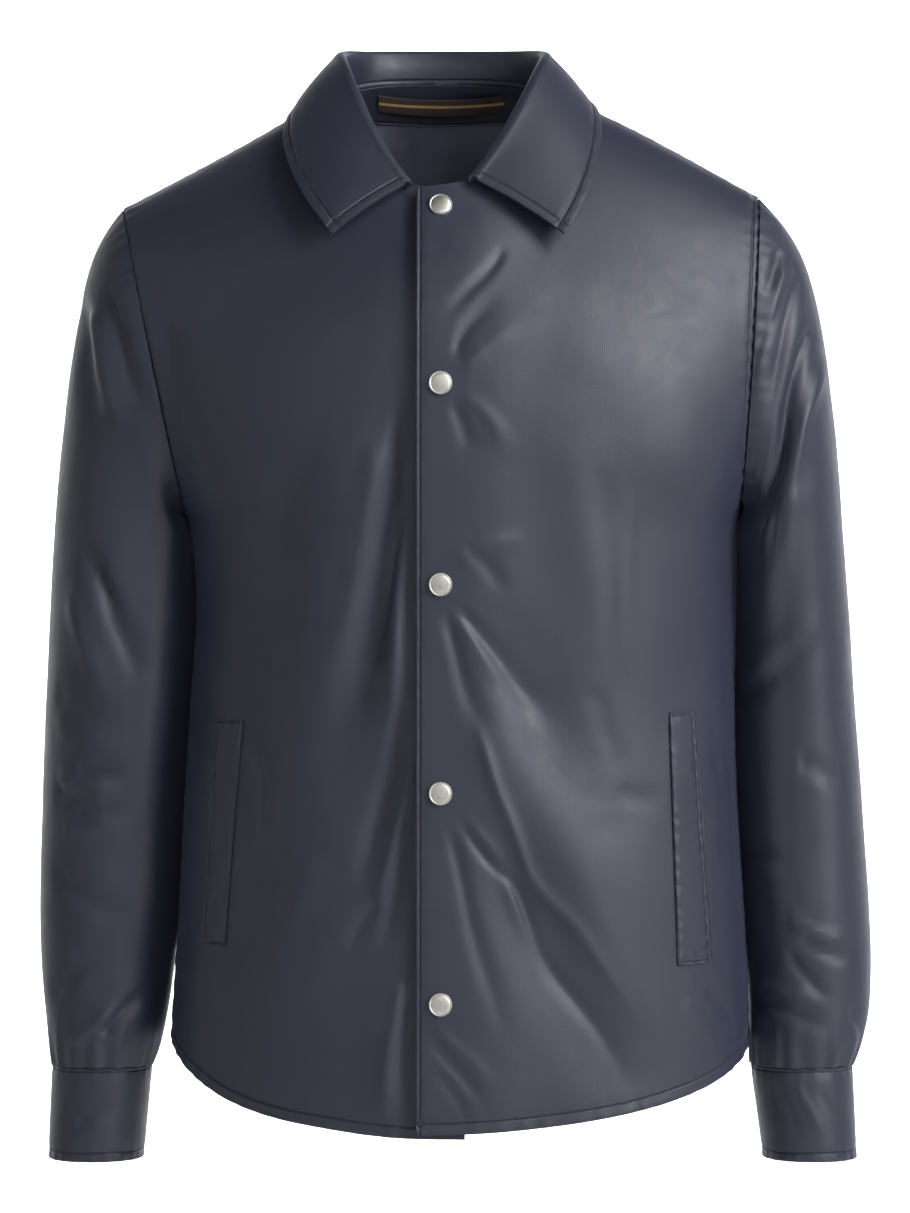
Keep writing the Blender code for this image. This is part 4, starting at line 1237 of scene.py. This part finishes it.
class JACKET_OT_neck(bpy.types.Operator):
    """The band inside the back neck and the hanger tape on it"""

    bl_idname = "jacket.neck"
    bl_label = "Neck facing and hanger tape"

    def execute(self, context):
        facing = Cloth("neck_facing_cloth", "back_neck_facing", (0, -1, 0))
        low_edge = facing.run(lambda p: p[2])
        facing.pucker(low_edge, COLLAR_PUCKER, 71)
        facing.sew(low_edge, FACING_ROW)
        facing.raise_cloth()
        rows = [facing.row(low_edge, FACING_ROW)]
        facing.close(sizes().facing_wall, round_edge=0.3)
        sew_rows("neck_facing_stitching", rows)

        tape = Cloth("hanger_tape_cloth", "hanger_tape", (0, -1, 0))
        tape.raise_cloth()
        ends = sorted(tape.runs, key=lambda run: run.length)[:2]
        rows = [tape.row(end, TAPE_ROW, 1, 1) for end in ends]
        tape.close(TAPE_WALL * MM, "woven_tape", round_edge=0.2)
        sew_rows("hanger_tape_stitching", rows)
        return {"FINISHED"}


class JACKET_OT_snaps(bpy.types.Operator):
    """Five domed caps with a rolled rim, and the studs and posts behind them"""

    bl_idname = "jacket.snaps"
    bl_label = "Snaps"

    def execute(self, context):
        pattern = snap_cap()
        for number in SNAPS:
            node = f"snap_cap_{number}"
            cap = link(bpy.data.objects.new(node + "_metal", pattern.data.copy()))
            cap.data.transform(cap_place(node))
            finish_piece(cap, "brushed_nickel")
            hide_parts(node)
            for word in ("stud", "post"):
                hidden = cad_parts[f"snap_{word}_{number}"]
                hidden.data.materials.clear()
                hidden.data.materials.append(material("brushed_nickel"))
        bpy.data.objects.remove(pattern)
        return {"FINISHED"}


def snap_cap():
    """A snap cap at the origin, facing up: dome, groove and rolled rim."""
    radius = sizes().cap_radius
    height = CAP_HEIGHT * MM
    bpy.ops.object.select_all(action="DESELECT")
    bpy.ops.mesh.primitive_cylinder_add(
        vertices=CAP_SEGMENTS, radius=radius, depth=height, location=(0, 0, height / 2)
    )
    cap = bpy.context.object
    bpy.ops.object.transform_apply(location=True, rotation=True, scale=True)
    bpy.ops.object.mode_set(mode="EDIT")
    bpy.ops.mesh.select_all(action="DESELECT")
    shape = bmesh.from_edit_mesh(cap.data)
    top = max(shape.faces, key=lambda f: f.calc_center_median().z)
    top.select_set(True)
    bmesh.update_edit_mesh(cap.data)
    bpy.ops.mesh.inset(thickness=radius * (1 - CAP_RIM_SHARE))
    bpy.ops.mesh.inset(thickness=radius * CAP_GROOVE_SLOPE)
    bpy.ops.transform.translate(value=(0, 0, -CAP_GROOVE * MM))
    bpy.ops.mesh.inset(thickness=radius * (CAP_RIM_SHARE - CAP_GROOVE_SLOPE - CAP_DOME_SHARE))
    bpy.ops.transform.translate(value=(0, 0, CAP_GROOVE * MM * CAP_GROOVE_RETURN))
    rings = CAP_DOME_RINGS
    for ring in range(rings):
        share = 1 - (ring + 1) / rings
        rise = (1 - share**2) - (1 - (1 - ring / rings) ** 2)
        bpy.ops.mesh.inset(thickness=radius * CAP_DOME_SHARE / rings * CAP_DOME_CLOSED)
        bpy.ops.transform.translate(value=(0, 0, CAP_DOME_RISE * MM * rise))
    bpy.ops.object.mode_set(mode="OBJECT")
    apply_modifier(
        cap,
        "BEVEL",
        limit_method="ANGLE",
        angle_limit=math.radians(40),
        width=CAP_ROUND * MM,
        segments=3,
    )
    return cap


def cap_place(node):
    """Where a snap cap sits and which way it faces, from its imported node."""
    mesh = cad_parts[node].data
    front = [f for f in mesh.polygons if f.normal.y < -0.8]
    out = sum((f.normal * f.area for f in front), Vector()).normalized()
    points = [v.co for v in mesh.vertices]
    middle = sum(points, Vector()) / len(points)
    base = min((p - middle).dot(out) for p in points)
    turn = out.to_track_quat("Z", "Y").to_matrix().to_4x4()
    low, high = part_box(node)
    centre = (low + high) / 2
    foot = centre + out * (base - (centre - middle).dot(out))
    return Matrix.Translation(foot) @ turn


class JACKET_OT_stage(bpy.types.Operator):
    """Pale floor and backdrop, soft lights and the camera of the photograph"""

    bl_idname = "jacket.stage"
    bl_label = "Stage"

    def execute(self, context):
        backdrop()
        for light in LIGHTS:
            bpy.ops.object.select_all(action="DESELECT")
            bpy.ops.object.light_add(type="AREA", location=Vector(light.place) * MM)
            lamp = bpy.context.object
            lamp.name = light.name + "_light"
            lamp.data.shape = "SQUARE"
            lamp.data.size = light.size * MM
            lamp.data.energy = light.power
            lamp.data.color = linear(light.colour)
            lamp.visible_camera = False
            aim = Vector(light.target) * MM - lamp.location
            lamp.rotation_euler = aim.to_track_quat("-Z", "Y").to_euler()
        world = bpy.data.worlds.new("studio_light")
        context.scene.world = world
        world.use_nodes = True
        sky = world.node_tree.nodes["Background"]
        sky.inputs["Color"].default_value = rgba(linear(WORLD_COLOUR))
        sky.inputs["Strength"].default_value = WORLD_STRENGTH
        across = (PHOTO_WIDTH / 2 - ORIGIN_PIXEL[0]) * PHOTO_SCALE
        up = (ORIGIN_PIXEL[1] - PHOTO_HEIGHT / 2) * PHOTO_SCALE
        bpy.ops.object.camera_add(
            location=Vector((across, -CAMERA_DISTANCE, up)) * MM,
            rotation=(math.radians(90), 0, 0),
        )
        camera = bpy.context.object
        camera.data.sensor_width = SENSOR
        camera.data.lens = SENSOR * CAMERA_DISTANCE / (PHOTO_HEIGHT * PHOTO_SCALE)
        context.scene.camera = camera
        context.scene.view_settings.view_transform = "Standard"
        return {"FINISHED"}


def backdrop():
    """A round studio: a floor that sweeps up into its wall on every side."""
    bpy.ops.object.select_all(action="DESELECT")
    bpy.ops.mesh.primitive_cylinder_add(
        vertices=128,
        radius=STUDIO_RADIUS * MM,
        depth=STUDIO_HEIGHT * MM,
        location=(0, 0, (FLOOR_Z + STUDIO_HEIGHT / 2) * MM),
    )
    floor = bpy.context.object
    floor.name = "floor"
    bpy.ops.object.transform_apply(location=True, rotation=True, scale=True)
    bpy.ops.object.mode_set(mode="EDIT")
    bpy.ops.mesh.select_all(action="DESELECT")
    shape = bmesh.from_edit_mesh(floor.data)
    roof = max(shape.faces, key=lambda f: f.calc_center_median().z)
    roof.select_set(True)
    bmesh.update_edit_mesh(floor.data)
    bpy.ops.mesh.delete(type="FACE")
    bpy.ops.object.mode_set(mode="OBJECT")
    apply_modifier(
        floor,
        "BEVEL",
        limit_method="ANGLE",
        width=SWEEP_RADIUS * MM,
        segments=24,
        use_clamp_overlap=False,
    )
    floor.data.materials.append(material("studio_paint"))
    only(floor)
    bpy.ops.object.shade_smooth()


OPERATORS = (
    JACKET_OT_fronts,
    JACKET_OT_back,
    JACKET_OT_sleeves,
    JACKET_OT_cuffs,
    JACKET_OT_collar,
    JACKET_OT_pocket_welts,
    JACKET_OT_neck,
    JACKET_OT_snaps,
    JACKET_OT_stage,
)


class JACKET_PT_build(bpy.types.Panel):
    """Steps that build the jacket, in order"""

    bl_idname = "JACKET_PT_build"
    bl_label = "Jacket"
    bl_space_type = "VIEW_3D"
    bl_region_type = "UI"
    bl_category = "Jacket"

    def draw(self, context):
        for kind in OPERATORS:
            self.layout.operator(kind.bl_idname)
        for group in (context.scene.jacket_sizes, context.scene.jacket_colours):
            for name in group.__annotations__:
                self.layout.prop(group, name)


CLASSES = (JacketSizes, JacketColours, *OPERATORS, JACKET_PT_build)


def register():
    for kind in CLASSES:
        bpy.utils.register_class(kind)
    bpy.types.Scene.jacket_sizes = bpy.props.PointerProperty(type=JacketSizes)
    bpy.types.Scene.jacket_colours = bpy.props.PointerProperty(type=JacketColours)


def unregister():
    del bpy.types.Scene.jacket_colours
    del bpy.types.Scene.jacket_sizes
    for kind in reversed(CLASSES):
        bpy.utils.unregister_class(kind)


def main():
    register()
    bpy.ops.jacket.fronts()
    bpy.ops.jacket.back()
    bpy.ops.jacket.sleeves()
    bpy.ops.jacket.cuffs()
    bpy.ops.jacket.collar()
    bpy.ops.jacket.pocket_welts()
    bpy.ops.jacket.neck()
    bpy.ops.jacket.snaps()
    bpy.ops.jacket.stage()


if __name__ == "__main__":
    main()
